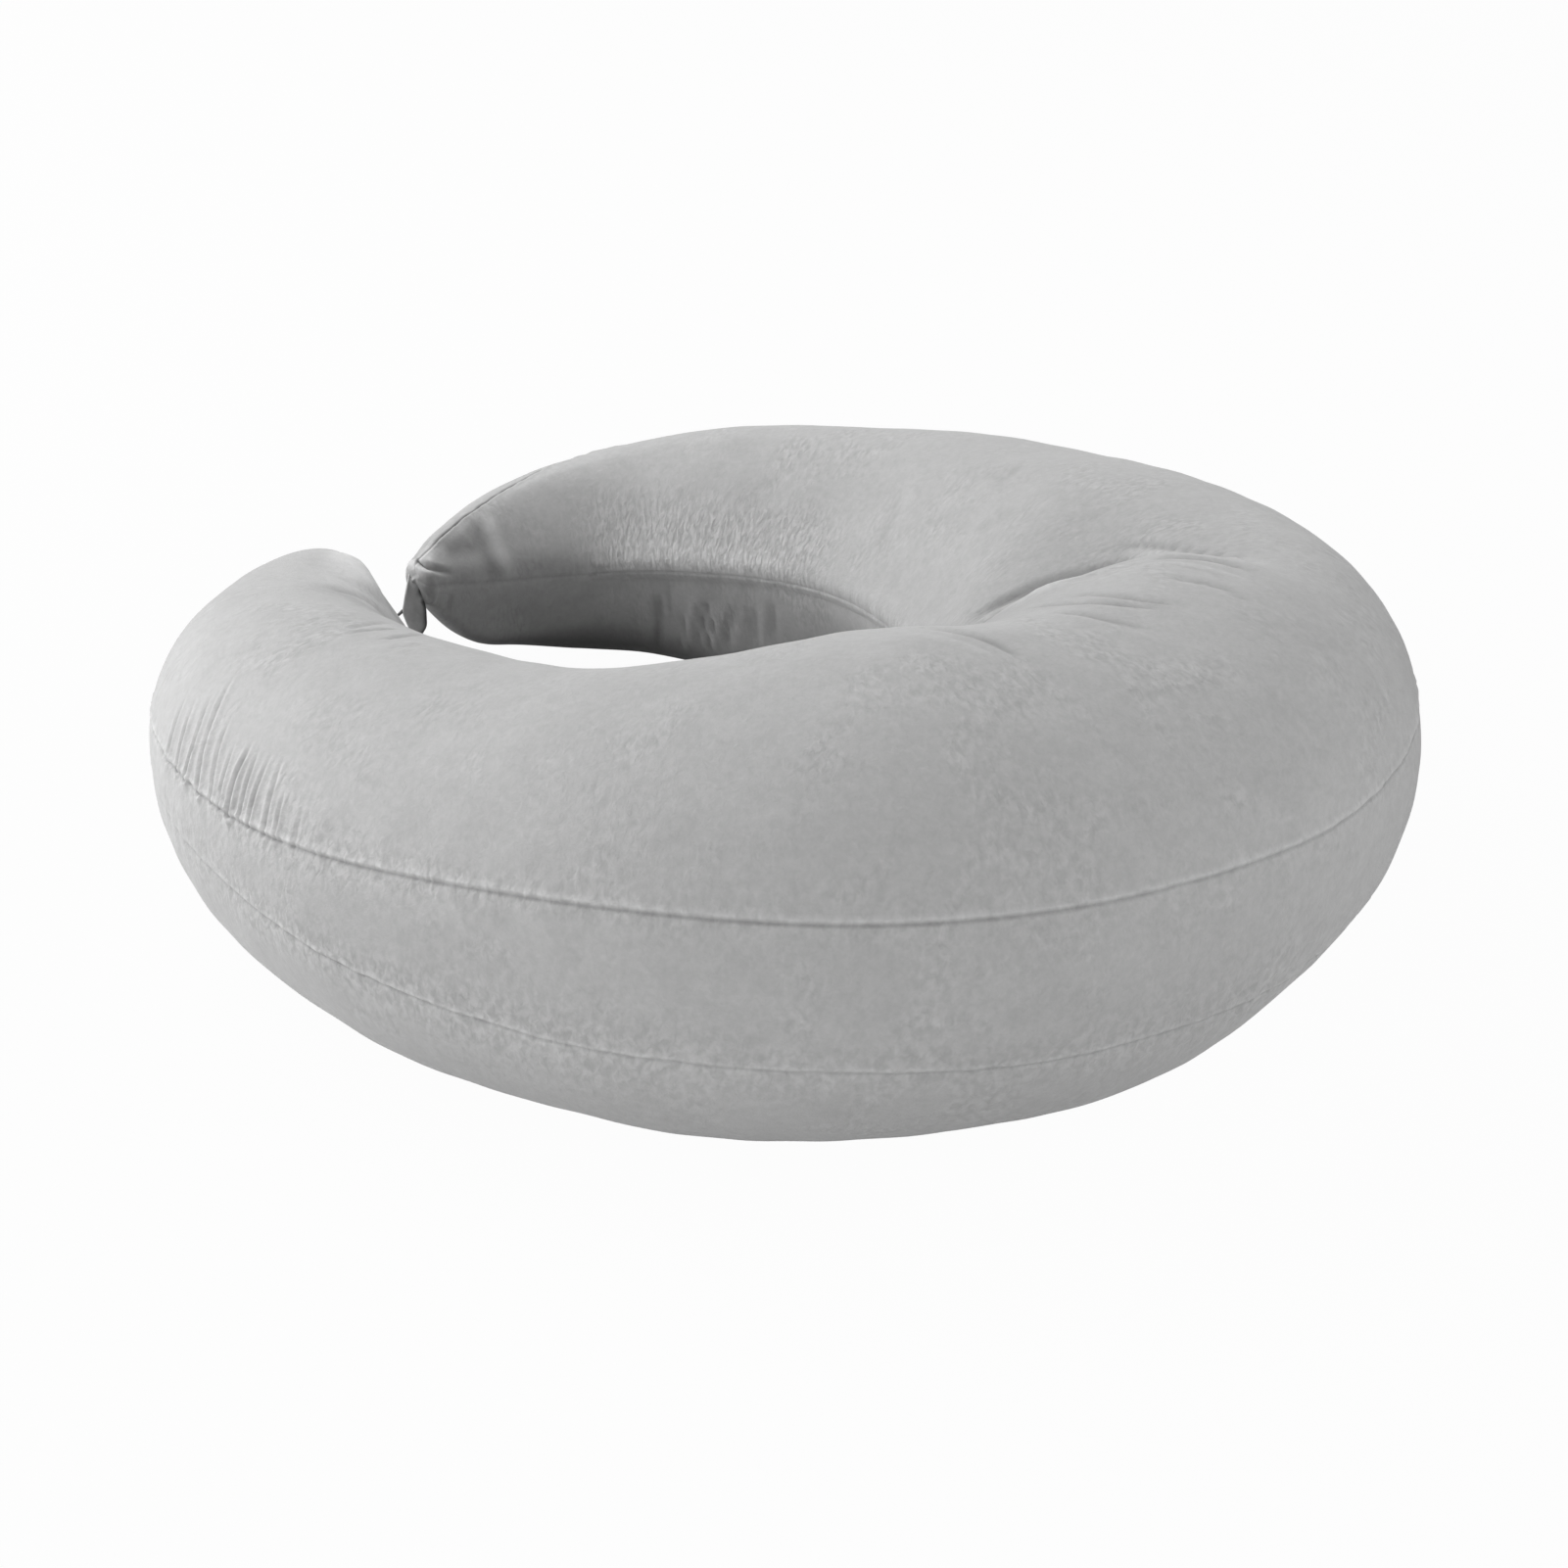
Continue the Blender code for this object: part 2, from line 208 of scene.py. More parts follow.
# How strong a crease is along its run: gathers thin out upwards, the others fade at both ends.
GATHER_RUN = Zone(-0.10, 0.02, 0.45, 1.00)
FOLD_RUN = Zone(0.00, 0.25, 0.75, 1.00)
GATHER_LIPS, FOLD_LIPS = 3.4, 0.9  # how much the cloth stands up on either side of a trough
# A crease also carries painted shade in its trough and painted light on its lips; at this depth that
# painted shade is 1.
SHADE_DEPTH = 0.0016  # depth of a crease that is shaded by 1
MOST_SHADE = 1.5

# How each seam looks: the hole's seam, the upper outer seam and the lower outer seam.
#   depth, width  of the groove that the stitches pull
#   lip           height of the soft roll above the groove
#    dark          how much darker the stitch line is; 0.75 of it paints the soft roll lighter
#   crushed       how far from it the pile is crushed
#   pucker        length of its puckers
#   reach         how far from it they reach
SeamLook = namedtuple("SeamLook", "depth width lip dark crushed pucker reach")
SEAM_LOOKS = (
    SeamLook(0.0008, 0.0014, 0.0000, 0.06, 0.012, 0.021, 0.020),
    SeamLook(0.0010, 0.0011, 0.0009, 0.24, 0.015, 0.016, 0.014),
    SeamLook(0.0010, 0.0012, 0.0008, 0.28, 0.028, 0.019, 0.014),
)
SEAM_DIP_WIDTH = 0.010
ROLL_ABOVE, ROLL_WIDTH = 0.0031, 0.0015  # the soft roll's line above the seam, and its width
STITCH_WIDTH = 0.0012  # width of the dark stitch line
# The lower seam shows best under the front of the blunt end's side, and less elsewhere.
LOWER_SEAM_ALONG = (0.20, 0.32, 0.40, 0.50, 0.62, 1.73)
LOWER_SEAM_SHARE = (0.3, 0.6, 1.0, 0.8, 0.6, 0.6)

# Both sides of the hole's seam on the far arm, in zones along the pillow and away from the seam:
# the lip above it and the wall that is drawn in below, the pleats on that wall, the worn pile
# above the seam, and the painted highlight strip on the lip.
LIP_ALONG, TUCK_BELOW = Zone(1.05, 1.17, 1.55, 1.67), Zone(0, 0.010, 0.035, 0.085)
PLEATS_ALONG, PLEATS_BELOW = Zone(1.34, 1.42, 1.60, 1.66), Zone(0, 0.010, 0.030, 0.090)
WORN_ALONG, WORN_ABOVE = Zone(1.30, 1.38, 1.56, 1.64), Zone(0, 0.004, 0.025, 0.080)
STRIP_ALONG, STRIP_ABOVE = Zone(1.32, 1.44, 1.54, 1.62), Zone(0, 0.002, 0.008, 0.026)
LIP_PEAK = 0.008  # distance of the lip's highest line from the seam
LIP_OUT, LIP_IN = 0.020, 0.006  # how wide the lip is on either side of that line
# How worn the pile is above the seam, and how much lighter the lip's strip is painted, a painted
# highlight.
WORN_SHARE, STRIP_PAINTED_LIGHT = 0.90, 0.28

# Painted shade and painted light: shares by which the pile's colour is darkened where little light
# gets in, and lightened where it is lit best.
HANGING_DARK = 0.45  # on the side of the far arm that hangs over the hole
LOW_DARK, LOW_TIP_DARK, FLOOR_DARK = 0.10, 0.16, 0.15  # low on that side, at its tip, and lowest
TIP_DARK, TIP_EDGE_DARK = 0.30, 0.20  # on the underside of the tip
HOLLOW_DARK, HOLLOW_SIZE = 0.22, 0.020  # in the hollow behind the tip's upper fold
TIP_HOLLOW = (-0.230, 0.266, 0.106)
RIM_LIGHT, SLOPE_LIGHT = 0.50, 0.40  # on the tip's rim, and on the blunt end's slope

# The end tab: a doubled strip of the cover that turns down out of the tapered end, narrow at its
# neck and flared below.  Its middle line in y and z, and where its two edges lie in x.
TabRow = namedtuple("TabRow", "y z left right")
TAB_ROWS = (
    TabRow(0.2590, 0.0915, -0.2665, -0.2592),
    TabRow(0.2525, 0.0872, -0.2676, -0.2580),
    TabRow(0.2494, 0.0795, -0.2692, -0.2566),
    TabRow(0.2510, 0.0712, -0.2708, -0.2549),
    TabRow(0.2530, 0.0640, -0.2718, -0.2545),
    TabRow(0.2532, 0.0570, -0.2702, -0.2546),
    TabRow(0.2534, 0.0510, -0.2684, -0.2553),
    TabRow(0.2534, 0.0460, -0.2660, -0.2582),
)
# The tongue: the tab's stitched binding, rolled thin, from the flared edge outwards.
TONGUE_START = (-0.2719, 0.2530, 0.0646)
TONGUE_STOP = (-0.2792, 0.2530, 0.0588)
TONGUE_RADIUS, TONGUE_TAPER = 0.0015, 0.0004
# Painted shade darkens the fold at the tab's neck round this point; painted light lightens the tab's
# left half.
TAB_HOLLOW = (-0.2580, 0.083)  # the dark fold at the tab's neck, in x and z
TAB_HOLLOW_DARK, TAB_EDGE_DARK, TAB_LEFT_LIGHT = 0.85, 0.97, 0.14
TAB_RINGS, TAB_SIDES = 90, 72
TONGUE_RINGS, TONGUE_SIDES = 24, 24

# The stage: where the camera looks, and the lights, each a square soft one that stands off by the
# same distance, at degrees clockwise from the back and degrees above level.
LOOK_AT = (0.004, -0.105, 0.12)
LAMPS_AT, LAMPS_OFF = (0, 0, 0.1), 3.0
Lamp = namedtuple("Lamp", "name turn rise size power")
LAMPS = (
    Lamp("key light", 315, 50, 2.0, "key_power"),
    Lamp("low light", 290, 20, 2.5, "low_power"),
    Lamp("front light", 200, 10, 2.5, "front_power"),
    Lamp("right light", 90, 20, 2.0, "right_power"),
)
FLOOR_REACH = 9.0
FLOOR_GLOW = 0.97  # share of the floor that the camera sees as plain white


def smooth_step(share):
    """0 to 1 with level ends: three times the square less twice the cube, for shares 0 to 1."""
    share = np.clip(share, 0, 1)
    return share * share * (3 - 2 * share)


def ramp(values, start, stop):
    """A smooth step: 0 up to start and 1 from stop on, or the other way where stop is less."""
    return smooth_step((values - start) / (stop - start))


def window(values, zone):
    """A smooth step up over the start of a zone, times one down over its end."""
    return ramp(values, zone.start, zone.full) * ramp(values, zone.gone, zone.fade)


def bump(distance, width):
    """A bell: one over e to the square of distance over width."""
    return np.exp(-((distance / width) ** 2))


def curve_through(rows, places):
    """The smoothest cubic curve through the rows, read at distances along it in plan.

    Its second derivatives, the bends, are nought at both ends and come from one linear system.
    Between two rows the curve is the sum of two cubes and two straight lines.
    """
    rows = np.asarray(rows, float)
    gaps = np.hypot(*np.diff(rows[:, :2], axis=0).T)
    knots = np.concatenate([[0], np.cumsum(gaps)])
    slopes = np.diff(rows, axis=0) / gaps[:, None]
    system = np.eye(len(rows))
    wanted = np.zeros_like(rows)
    for i in range(1, len(gaps)):
        system[i, i - 1:i + 2] = gaps[i - 1], 2 * (gaps[i - 1] + gaps[i]), gaps[i]
        wanted[i] = 6 * (slopes[i] - slopes[i - 1])
    bends = np.linalg.solve(system, wanted)
    places = np.clip(places, 0, knots[-1])
    span = np.clip(np.searchsorted(knots, places, side="right") - 1, 0, len(gaps) - 1)
    gap = gaps[span][:, None]
    behind = places[:, None] - knots[span][:, None]
    ahead = gap - behind
    cubic = (bends[span] * ahead**3 + bends[span + 1] * behind**3) / (6 * gap)
    start = (rows[span] / gap - bends[span] * gap / 6) * ahead
    stop = (rows[span + 1] / gap - bends[span + 1] * gap / 6) * behind
    return cubic + start + stop


def crease_depth(places, angles):
    """Depth of the buckled valley: a smooth step up and down, round the section and along it."""
    round_share = np.where(
        angles > CREASE_DEEPEST,
        (CREASE_TO - angles) / (CREASE_TO - CREASE_DEEPEST),
        (angles - CREASE_FROM) / (CREASE_DEEPEST - CREASE_FROM),
    )
    past = places - CREASE_AT + CREASE_BEND * np.radians(angles - CREASE_TURN) ** 2
    along_share = 1 - np.abs(past) / np.where(past < 0, CREASE_FRONT, CREASE_BACK)
    return CREASE_DEPTH * smooth_step(round_share) * smooth_step(along_share)


def softened(values):
    """Values smoothed round the section: each wave of k turns fades by a bell in k."""
    waves = np.fft.rfft(values, axis=1)
    turns = np.arange(waves.shape[1])[None, :, None]
    return np.fft.irfft(waves * np.exp(-0.5 * (turns * SOFTENING) ** 2), n=ANGLE_COUNT, axis=1)


class Form:
    """The plain body of the pillow, as points for distances along it and degrees round it.

    A section is a circle whose sine and cosine are raised to powers, quarter by quarter, and
    stretched to the section's width and height.  It stands square to the pillow's plan line.
    """

    def __init__(self, places):
        self.places = places
        table = curve_through(SECTIONS, places)
        self.sections = Section(*table.T)
        step = 0.0005
        ahead = curve_through(SECTIONS, places + step) - curve_through(SECTIONS, places - step)
        travel = ahead[:, :2] / np.linalg.norm(ahead[:, :2], axis=1)[:, None]
        self.travel = travel
        self.side = np.stack([travel[:, 1], -travel[:, 0]], axis=1)
        self.angles = np.arange(ANGLE_COUNT) * 360 / ANGLE_COUNT - 180
        self.grid = self._grid()

    def _grid(self):
        """Points on every row at every sampled angle, with the buckled crease pressed in."""
        turns = np.radians(self.angles)[None]
        cosines, sines = np.cos(turns), np.sin(turns)
        s = Section(*(value[:, None] for value in self.sections))
        outer, upper = cosines >= 0, sines >= 0
        top_full = np.where(outer, OUTER_TOP, s.slope)
        full = np.where(upper, top_full, np.where(outer, OUTER_UNDER, s.wall))
        across = np.sign(cosines) * np.abs(cosines) ** (2 / full)
        upwards = np.abs(sines) ** (2 / full)
        fall = (s.widest - s.base) * (1 + SAG)
        out = s.half_width * across
        height = s.widest + np.where(upper, s.top - s.widest, -fall) * upwards
        inwards = crease_depth(self.places[:, None], self.angles[None] % 360)
        out, height = out - inwards * cosines, height - inwards * sines
        out, height = np.moveaxis(softened(np.stack([out, height], axis=2)), 2, 0)
        plan = np.stack([s.x + out * self.side[:, :1], s.y + out * self.side[:, 1:]], axis=2)
        return np.concatenate([plan, height[:, :, None]], axis=2)

    def read(self, rows, angles):
        """Points at row numbers, whole or not, and angles, in straight lines between samples."""
        rows = np.clip(np.asarray(rows, float), 0, len(self.places) - 1.001)
        row = rows.astype(int)
        share = (rows - row)[..., None]
        column = (np.asarray(angles, float) + 180) * ANGLE_COUNT / 360
        near = np.floor(column).astype(int)
        part = (column - near)[..., None]
        near, far = near % ANGLE_COUNT, (near + 1) % ANGLE_COUNT
        low = self.grid[row, near] * (1 - part) + self.grid[row, far] * part
        high = self.grid[row + 1, near] * (1 - part) + self.grid[row + 1, far] * part
        return low * (1 - share) + high * share


def row_places():
    """Distances of the rows along the pillow, evenly spaced within each stretch."""
    parts = [np.linspace(s.start, s.stop, s.rows, endpoint=False) for s in STRETCHES]
    return np.concatenate([*parts, [STRETCHES[-1].stop]])


def seam_of_hole(places):
    """Degrees round the section of the hole's seam, which sinks a little on the far arm."""
    return SEAM_OF_HOLE - 4 * bump(places - 1.27, 0.16)


def column_angles(form):
    """Angles of the columns in every row, and the numbers of the three seam columns.

    Columns fall from the hole's seam over the crown to the outside and on under the pillow.
    Close to a seam they lie at set distances from it.  Between seams they lie evenly, or are
    crowded towards both seams by a wave.
    """
    s = form.sections
    hole = seam_of_hole(form.places)
    seams = (hole, s.seam_up, -s.seam_down, hole - 360)
    width = np.maximum(s.half_width, NARROW)
    columns, seam_at = [], []
    for start, stop, panel in zip(seams, seams[1:], PANELS):
        reach = np.degrees(SEAM_COLUMNS[-1] / width)
        squeeze = np.minimum(1, 0.3 * (start - stop) / reach)
        offsets = [np.degrees(distance / width) * squeeze for distance in SEAM_COLUMNS]
        seam_at.append(len(columns))
        columns.append(start)
        columns += [start - offset for offset in offsets]
        first, last = start - offsets[-1], stop + offsets[-1]
        for k in range(1, panel.columns):
            turn = 2 * math.pi * k / panel.columns
            share = (turn - panel.crowding * math.sin(turn)) / (2 * math.pi)
            columns.append(first + (last - first) * share)
        columns += [stop + offset for offset in offsets[::-1]]
    return np.stack(columns, axis=1), seam_at


def outward(points):
    """Outward normals of a grid of points: the cross product of its steps round and along."""
    along = np.gradient(points, axis=0)
    ring = np.roll(points, -1, axis=1) - np.roll(points, 1, axis=1)
    normal = np.cross(ring, along)
    return normal / np.maximum(np.linalg.norm(normal, axis=2), 1e-12)[:, :, None]


def gaps_round(points, column):
    """Distance of every point from one column, measured round its own section, both ways."""
    steps = np.linalg.norm(np.roll(points, -1, axis=1) - points, axis=2)
    run = np.concatenate([np.zeros((len(steps), 1)), np.cumsum(steps, axis=1)], axis=1)
    whole = run[:, -1:]
    past = run[:, :-1] - run[:, column:column + 1]
    return (past + whole / 2) % whole - whole / 2


def line_on(form, places, angles):
    """Points on the plain body for distances along it and angles round it."""
    rows = np.interp(places, form.places, np.arange(len(form.places)))
    return form.read(rows, angles)


def arc_through(first, middle, last, count=28):
    """A parabola through three values, at equal shares of its run."""
    share = np.linspace(0, 1, count)
    control = 2 * middle - (first + last) / 2
    return first * (1 - share) ** 2 + 2 * control * share * (1 - share) + last * share**2


def line_field(points, line, reach):
    """Distance of each point from a line of points, and the share of the line reached there.

    Only points within reach of the line's box are worked out; the rest are far away.
    """
    flat = points.reshape(-1, 3)
    low, high = line.min(axis=0) - reach, line.max(axis=0) + reach
    near = np.nonzero(np.all((flat > low) & (flat < high), axis=1))[0]
    best = np.full(len(near), 1e9)
    share = np.zeros(len(near))
    for k in range(len(line) - 1):
        span = line[k + 1] - line[k]
        past = np.clip((flat[near] - line[k]) @ span / (span @ span), 0, 1)
        away = np.linalg.norm(flat[near] - line[k] - past[:, None] * span, axis=1)
        closer = away < best
        best = np.where(closer, away, best)
        share = np.where(closer, (k + past) / (len(line) - 1), share)
    return near, best, share


def crease_profile(distance, width, lips):
    """Height across a crease: a trough of depth 1, with a lip on either side of it."""
    across = (distance / width) ** 2
    return (across * lips - 1) * np.exp(-across)


def waves(points, count, longest, shortest, seed):
    """Soft uneven lumps: a sum of plane waves with seeded directions, lengths and starts."""
    chance = np.random.default_rng(seed)
    total = np.zeros(points.shape[:2])
    for _ in range(count):
        direction = chance.normal(size=3)
        direction /= np.linalg.norm(direction)
        length = np.exp(chance.uniform(np.log(shortest), np.log(longest)))
        start = chance.uniform(0, 2 * np.pi)
        total += np.sin(points @ direction * 2 * np.pi / length + start)
    return total / np.sqrt(count / 2)


def seam_relief(points, form, seam_at, settings):
    """Height off the plain body round the seams, how dark each is, and how crushed the pile is.

    Each seam is a narrow groove in a wide shallow dip, with a soft roll above it that is painted
    lighter, a painted highlight.  The upper one is darker near the tapered tip.
    """
    s = form.places[:, None]
    relief, dark, crushed = np.zeros((3, *points.shape[:2]))
    lower = np.interp(form.places, LOWER_SEAM_ALONG, LOWER_SEAM_SHARE)[:, None]
    wiggle = np.sin(s * 410 + 2.4 * np.sin(s * 97)) + 0.6 * np.sin(s * 930 + 3 * np.sin(s * 71))
    wander = 1 + 0.18 * wiggle
    shown = (1, 1, lower)
    worn = (0.4, 0.75 - 0.45 * ramp(s, 0.48, 0.64), 0.9 * lower)
    for column, look, show, wear in zip(seam_at, SEAM_LOOKS, shown, worn):
        away = gaps_round(points, column)
        groove = settings.seam_strength * look.depth * bump(away, look.width) * wander
        roll = bump(away + ROLL_ABOVE + 0.0002 * wiggle, ROLL_WIDTH) * (1 - 0.2 * wiggle)
        relief += show * (look.lip * roll - groove)
        relief -= settings.seam_dip * bump(away, SEAM_DIP_WIDTH)
        # The stitch line's own dark, less a painted highlight on the soft roll above it.
        dark += show * look.dark * (wander * bump(away, STITCH_WIDTH) - 0.75 * roll)
        reach = look.crushed * (1 + 0.35 * np.sin(s * 23 + column))
        crushed = np.maximum(crushed, wear * bump(away, reach))
    dark += 0.30 * ramp(s, 1.57, 1.65) * bump(gaps_round(points, seam_at[1]), 0.0026)
    dark += 0.06 * lower * ramp(gaps_round(points, seam_at[2]), 0, -0.003)
    return relief * narrowing(form), dark, crushed


def narrowing(form):
    """How much of a seam's relief is left where the pillow is narrow."""
    return np.clip(form.sections.half_width / NARROW, 0.35, 1)[:, None]


def hole_relief(points, form, hole_seam, settings):
    """Height, darkness and crushed pile on both sides of the hole's seam, on the far arm.

    The panel above stands out as a lip with a painted highlight strip and worn pile, and the wall
    below is drawn in.  Away from the seam the body is drawn in towards the tapered tip.
    """
    s = form.places[:, None]
    past = gaps_round(points, hole_seam)
    lip = bump(past - LIP_PEAK, np.where(past > LIP_PEAK, LIP_OUT, LIP_IN))
    sides = settings.hole_lip * lip - settings.hole_tuck * window(-past, TUCK_BELOW)
    relief = narrowing(form) * window(s, LIP_ALONG) * sides
    relief -= settings.taper * ramp(s, 1.60, 1.70) * ramp(np.abs(past), 0.004, 0.034)
    # Painted highlight along the lip.
    dark = -STRIP_PAINTED_LIGHT * window(past, STRIP_ABOVE) * window(s, STRIP_ALONG)
    crushed = WORN_SHARE * window(past, WORN_ABOVE) * window(s, WORN_ALONG)
    return relief, dark, crushed


def crease_lines(form, shift, settings):
    """Every crease as (line of points, depth, width, lips, strength along its run)."""
    for fold in GATHERS:
        foot = np.interp(fold.foot, form.places, form.sections.seam_up)
        places = arc_through(fold.foot, fold.middle, fold.top)
        line = line_on(form, places, arc_through(foot, fold.middle_round, fold.top_round))
        yield line, fold.depth * settings.gather_strength, fold.width, GATHER_LIPS, GATHER_RUN
    for fold in FOLDS:
        places = arc_through(fold.along_1, fold.along_2, fold.along_3)
        line = line_on(form, places, arc_through(fold.round_1, fold.round_2, fold.round_3))
        yield line, fold.depth * settings.fold_strength, fold.width, FOLD_LIPS, FOLD_RUN
    for fold in TIP_FOLDS:
        first, middle, last = (np.array(point)[:, None] - shift[:, None] for point in fold[:3])
        line = arc_through(first, middle, last).T
        yield line, fold.depth * settings.fold_strength, fold.width, FOLD_LIPS, FOLD_RUN


def crease_relief(points, form, shift, settings):
    """Height and painted shade of all creases: each crease's profile, at every point's distance from
    it.
    """
    height = np.zeros(points.shape[0] * points.shape[1])
    shade = np.zeros_like(height)
    for line, depth, width, lips, run_zone in crease_lines(form, shift, settings):
        near, away, run = line_field(points, line, 4.5 * width)
        strength = window(run, run_zone)
        height[near] += depth * strength * crease_profile(away, width, lips)
        # Painted shade in the trough and painted light on its lips.
        dark = np.clip(depth / SHADE_DEPTH, -MOST_SHADE, MOST_SHADE)
        shade[near] -= dark * strength * crease_profile(away, width * 0.8, lips * 0.8)
    shade = np.clip(shade, -MOST_SHADE, MOST_SHADE)
    return height.reshape(points.shape[:2]), shade.reshape(points.shape[:2])


def pucker_relief(points, form, seam_at, settings):
    """Small uneven puckers along the seams: waves along the pillow that die off from the seam."""
    s = form.places[:, None]
    relief = np.zeros(points.shape[:2])
    for column, look in zip(seam_at, SEAM_LOOKS):
        turn = 2 * np.pi * s / look.pucker
        beat = np.sin(turn + 2.2 * np.sin(turn / 4.7))
        uneven = 0.55 + 0.45 * np.sin(turn / 7.3 + column)
        away = gaps_round(points, column)
        relief += settings.pucker_height * beat * uneven * bump(away, look.reach)
    pleat = np.sin(2 * np.pi * s / 0.040 + 1.1 * np.sin(2 * np.pi * s / 0.11) + 0.6)
    wall = window(-gaps_round(points, seam_at[0]), PLEATS_BELOW) * window(s, PLEATS_ALONG)
    return relief + settings.wall_pleat * wall * pleat


def end_pleats(points, form, settings):
    """Pleats gathered into the blunt end: waves round the section, deepest at its tip."""
    turns = np.linspace(0, 2 * np.pi, points.shape[1], endpoint=False)[None]
    s = form.places[:, None]
    fade = np.exp(-s / 0.030) * np.clip(form.sections.half_width / NARROW, 0.25, 1)[:, None]
    wave = np.cos(9 * turns + 0.8 * np.sin(2 * turns)) + 0.5 * np.cos(16 * turns + 1.0)
    return settings.end_pleat * fade * wave * (s < form.places[-1] / 2)


def closing_turns():
    """Angles of the rows that close an end, from its rim towards its point."""
    return np.arange(1, END_ROWS + 1) / (END_ROWS + 1) * np.pi / 2


def closed_ends(points, first_way, last_way, dome):
    """The grid with a few more rows at each end, which shrink in a small dome to a point."""
    turn = closing_turns()[:, None, None]
    ends = []
    for ring, way in ((points[0], first_way), (points[-1], last_way)):
        middle = ring.mean(axis=0)
        shrunk = middle + (ring - middle)[None] * np.cos(turn) ** END_ROUNDING
        ends.append((shrunk + way * dome * np.sin(turn), middle + way * dome))
    (first, first_tip), (last, last_tip) = ends
    return np.concatenate([first[::-1], points, last]), first_tip, last_tip


def with_end_rows(values):
    """Values on a grid, carried on over the rows that close its ends."""
    pad = [(END_ROWS, END_ROWS)] + [(0, 0)] * (values.ndim - 1)
    return np.pad(values, pad, mode="edge")


def grid_mesh(name, points, first_tip, last_tip, attributes, uv):
    """A closed mesh from a grid of rings: a quad for each cell, and a fan to each end's point."""
    rows, columns = points.shape[:2]
    number = np.arange(rows * columns).reshape(rows, columns)
    right = np.roll(number, -1, axis=1)
    quads = np.stack([number[:-1], right[:-1], right[1:], number[1:]], axis=2).reshape(-1, 4)
    tip_one, tip_two = rows * columns, rows * columns + 1
    fan_one = np.stack([np.full(columns, tip_one), right[0], number[0]], axis=1)
    fan_two = np.stack([np.full(columns, tip_two), number[-1], right[-1]], axis=1)
    vertices = np.concatenate([points.reshape(-1, 3), [first_tip, last_tip]])
    mesh = bpy.data.meshes.new(name)
    faces = [*quads.tolist(), *fan_one.tolist(), *fan_two.tolist()]
    mesh.from_pydata(vertices.tolist(), [], faces)
    for label, values in attributes.items():
        full = np.concatenate([values.ravel(), [0, 0]]).astype(np.float32)
        mesh.attributes.new(label, "FLOAT", "POINT").data.foreach_set("value", full)
    corners = np.zeros(len(mesh.loops), np.int32)
    mesh.loops.foreach_get("vertex_index", corners)
    cloth = np.concatenate([uv.reshape(-1, 2), [uv[0, 0], uv[-1, 0]]])[corners]
    mesh.uv_layers.new(name="cloth").data.foreach_set("uv", cloth.astype(np.float32).ravel())
    mesh.shade_smooth()
    mesh.update()
    return mesh


def linked(name, data):
    """A new object in the scene, at the origin."""
    made = bpy.data.objects.new(name, data)
    bpy.context.scene.collection.objects.link(made)
    return made


def placed(name, mesh, material):
    """A new object at the origin, which carries the mesh and rides with the pillow."""
    made = linked(name, mesh)
    mesh.materials.append(material)
    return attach(made, "root")


def plan_shift(form):
    """The move in plan that sets the plain body's box on the middle of the solid's."""
    low, high = form.grid.min(axis=(0, 1)), form.grid.max(axis=(0, 1))
    cad_low, cad_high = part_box("pillow_body")
    x = (cad_low[0] + cad_high[0] - low[0] - high[0]) / 2
    y = (cad_low[1] + cad_high[1] - low[1] - high[1]) / 2
    return np.array([x, y, 0.0])


def above_floor(height):
    """Heights pressed up to the floor: half of the height and its length with a small radius."""
    return (height + np.sqrt(height**2 + 0.0012**2)) / 2


def painted_shade_and_light(form, points, normals):
    """Painted shade and painted light: how much the pile's colour is darkened where little light
    gets in, and lightened where it is lit best.

    Painted shade lies on the far arm's side that hangs over the hole, its low parts, the underside
    of its tip and the hollow behind the tip's fold.  Painted light lies on the tip's rim and the
    blunt end's slope.
    """
    x, z = points[:, :, 0], points[:, :, 2]
    sideways, backwards, upwards = np.moveaxis(normals, 2, 0)
    along = with_end_rows(form.places)[:, None]
    low = (LOW_DARK + LOW_TIP_DARK * ramp(along, 1.56, 1.66)) * ramp(z, 0.102, 0.086)
    low += FLOOR_DARK * ramp(z, 0.040, 0.010)
    hanging = (low + HANGING_DARK * ramp(upwards, -0.30, -0.70)) * ramp(backwards, 0, -0.30)
    tip = TIP_DARK + TIP_EDGE_DARK * ramp(x, -0.249, -0.255)
    tip *= ramp(x, -0.242, -0.248) * ramp(z, 0.092, 0.087) * ramp(backwards, 0.25, -0.15)
    rim = ramp(x, -0.246, -0.252) * ramp(z, 0.094, 0.100) * ramp(backwards, 0.05, -0.20)
    far_arm = (np.maximum(hanging, tip) - RIM_LIGHT * rim) * ramp(along, 1.05, 1.17)
    off_hollow = np.linalg.norm(points - np.array(TIP_HOLLOW), axis=2)
    slope = ramp(along, 0.17, 0.12) * ramp(sideways, 0, 0.5)
    return far_arm + HOLLOW_DARK * bump(off_hollow, HOLLOW_SIZE) - SLOPE_LIGHT * slope


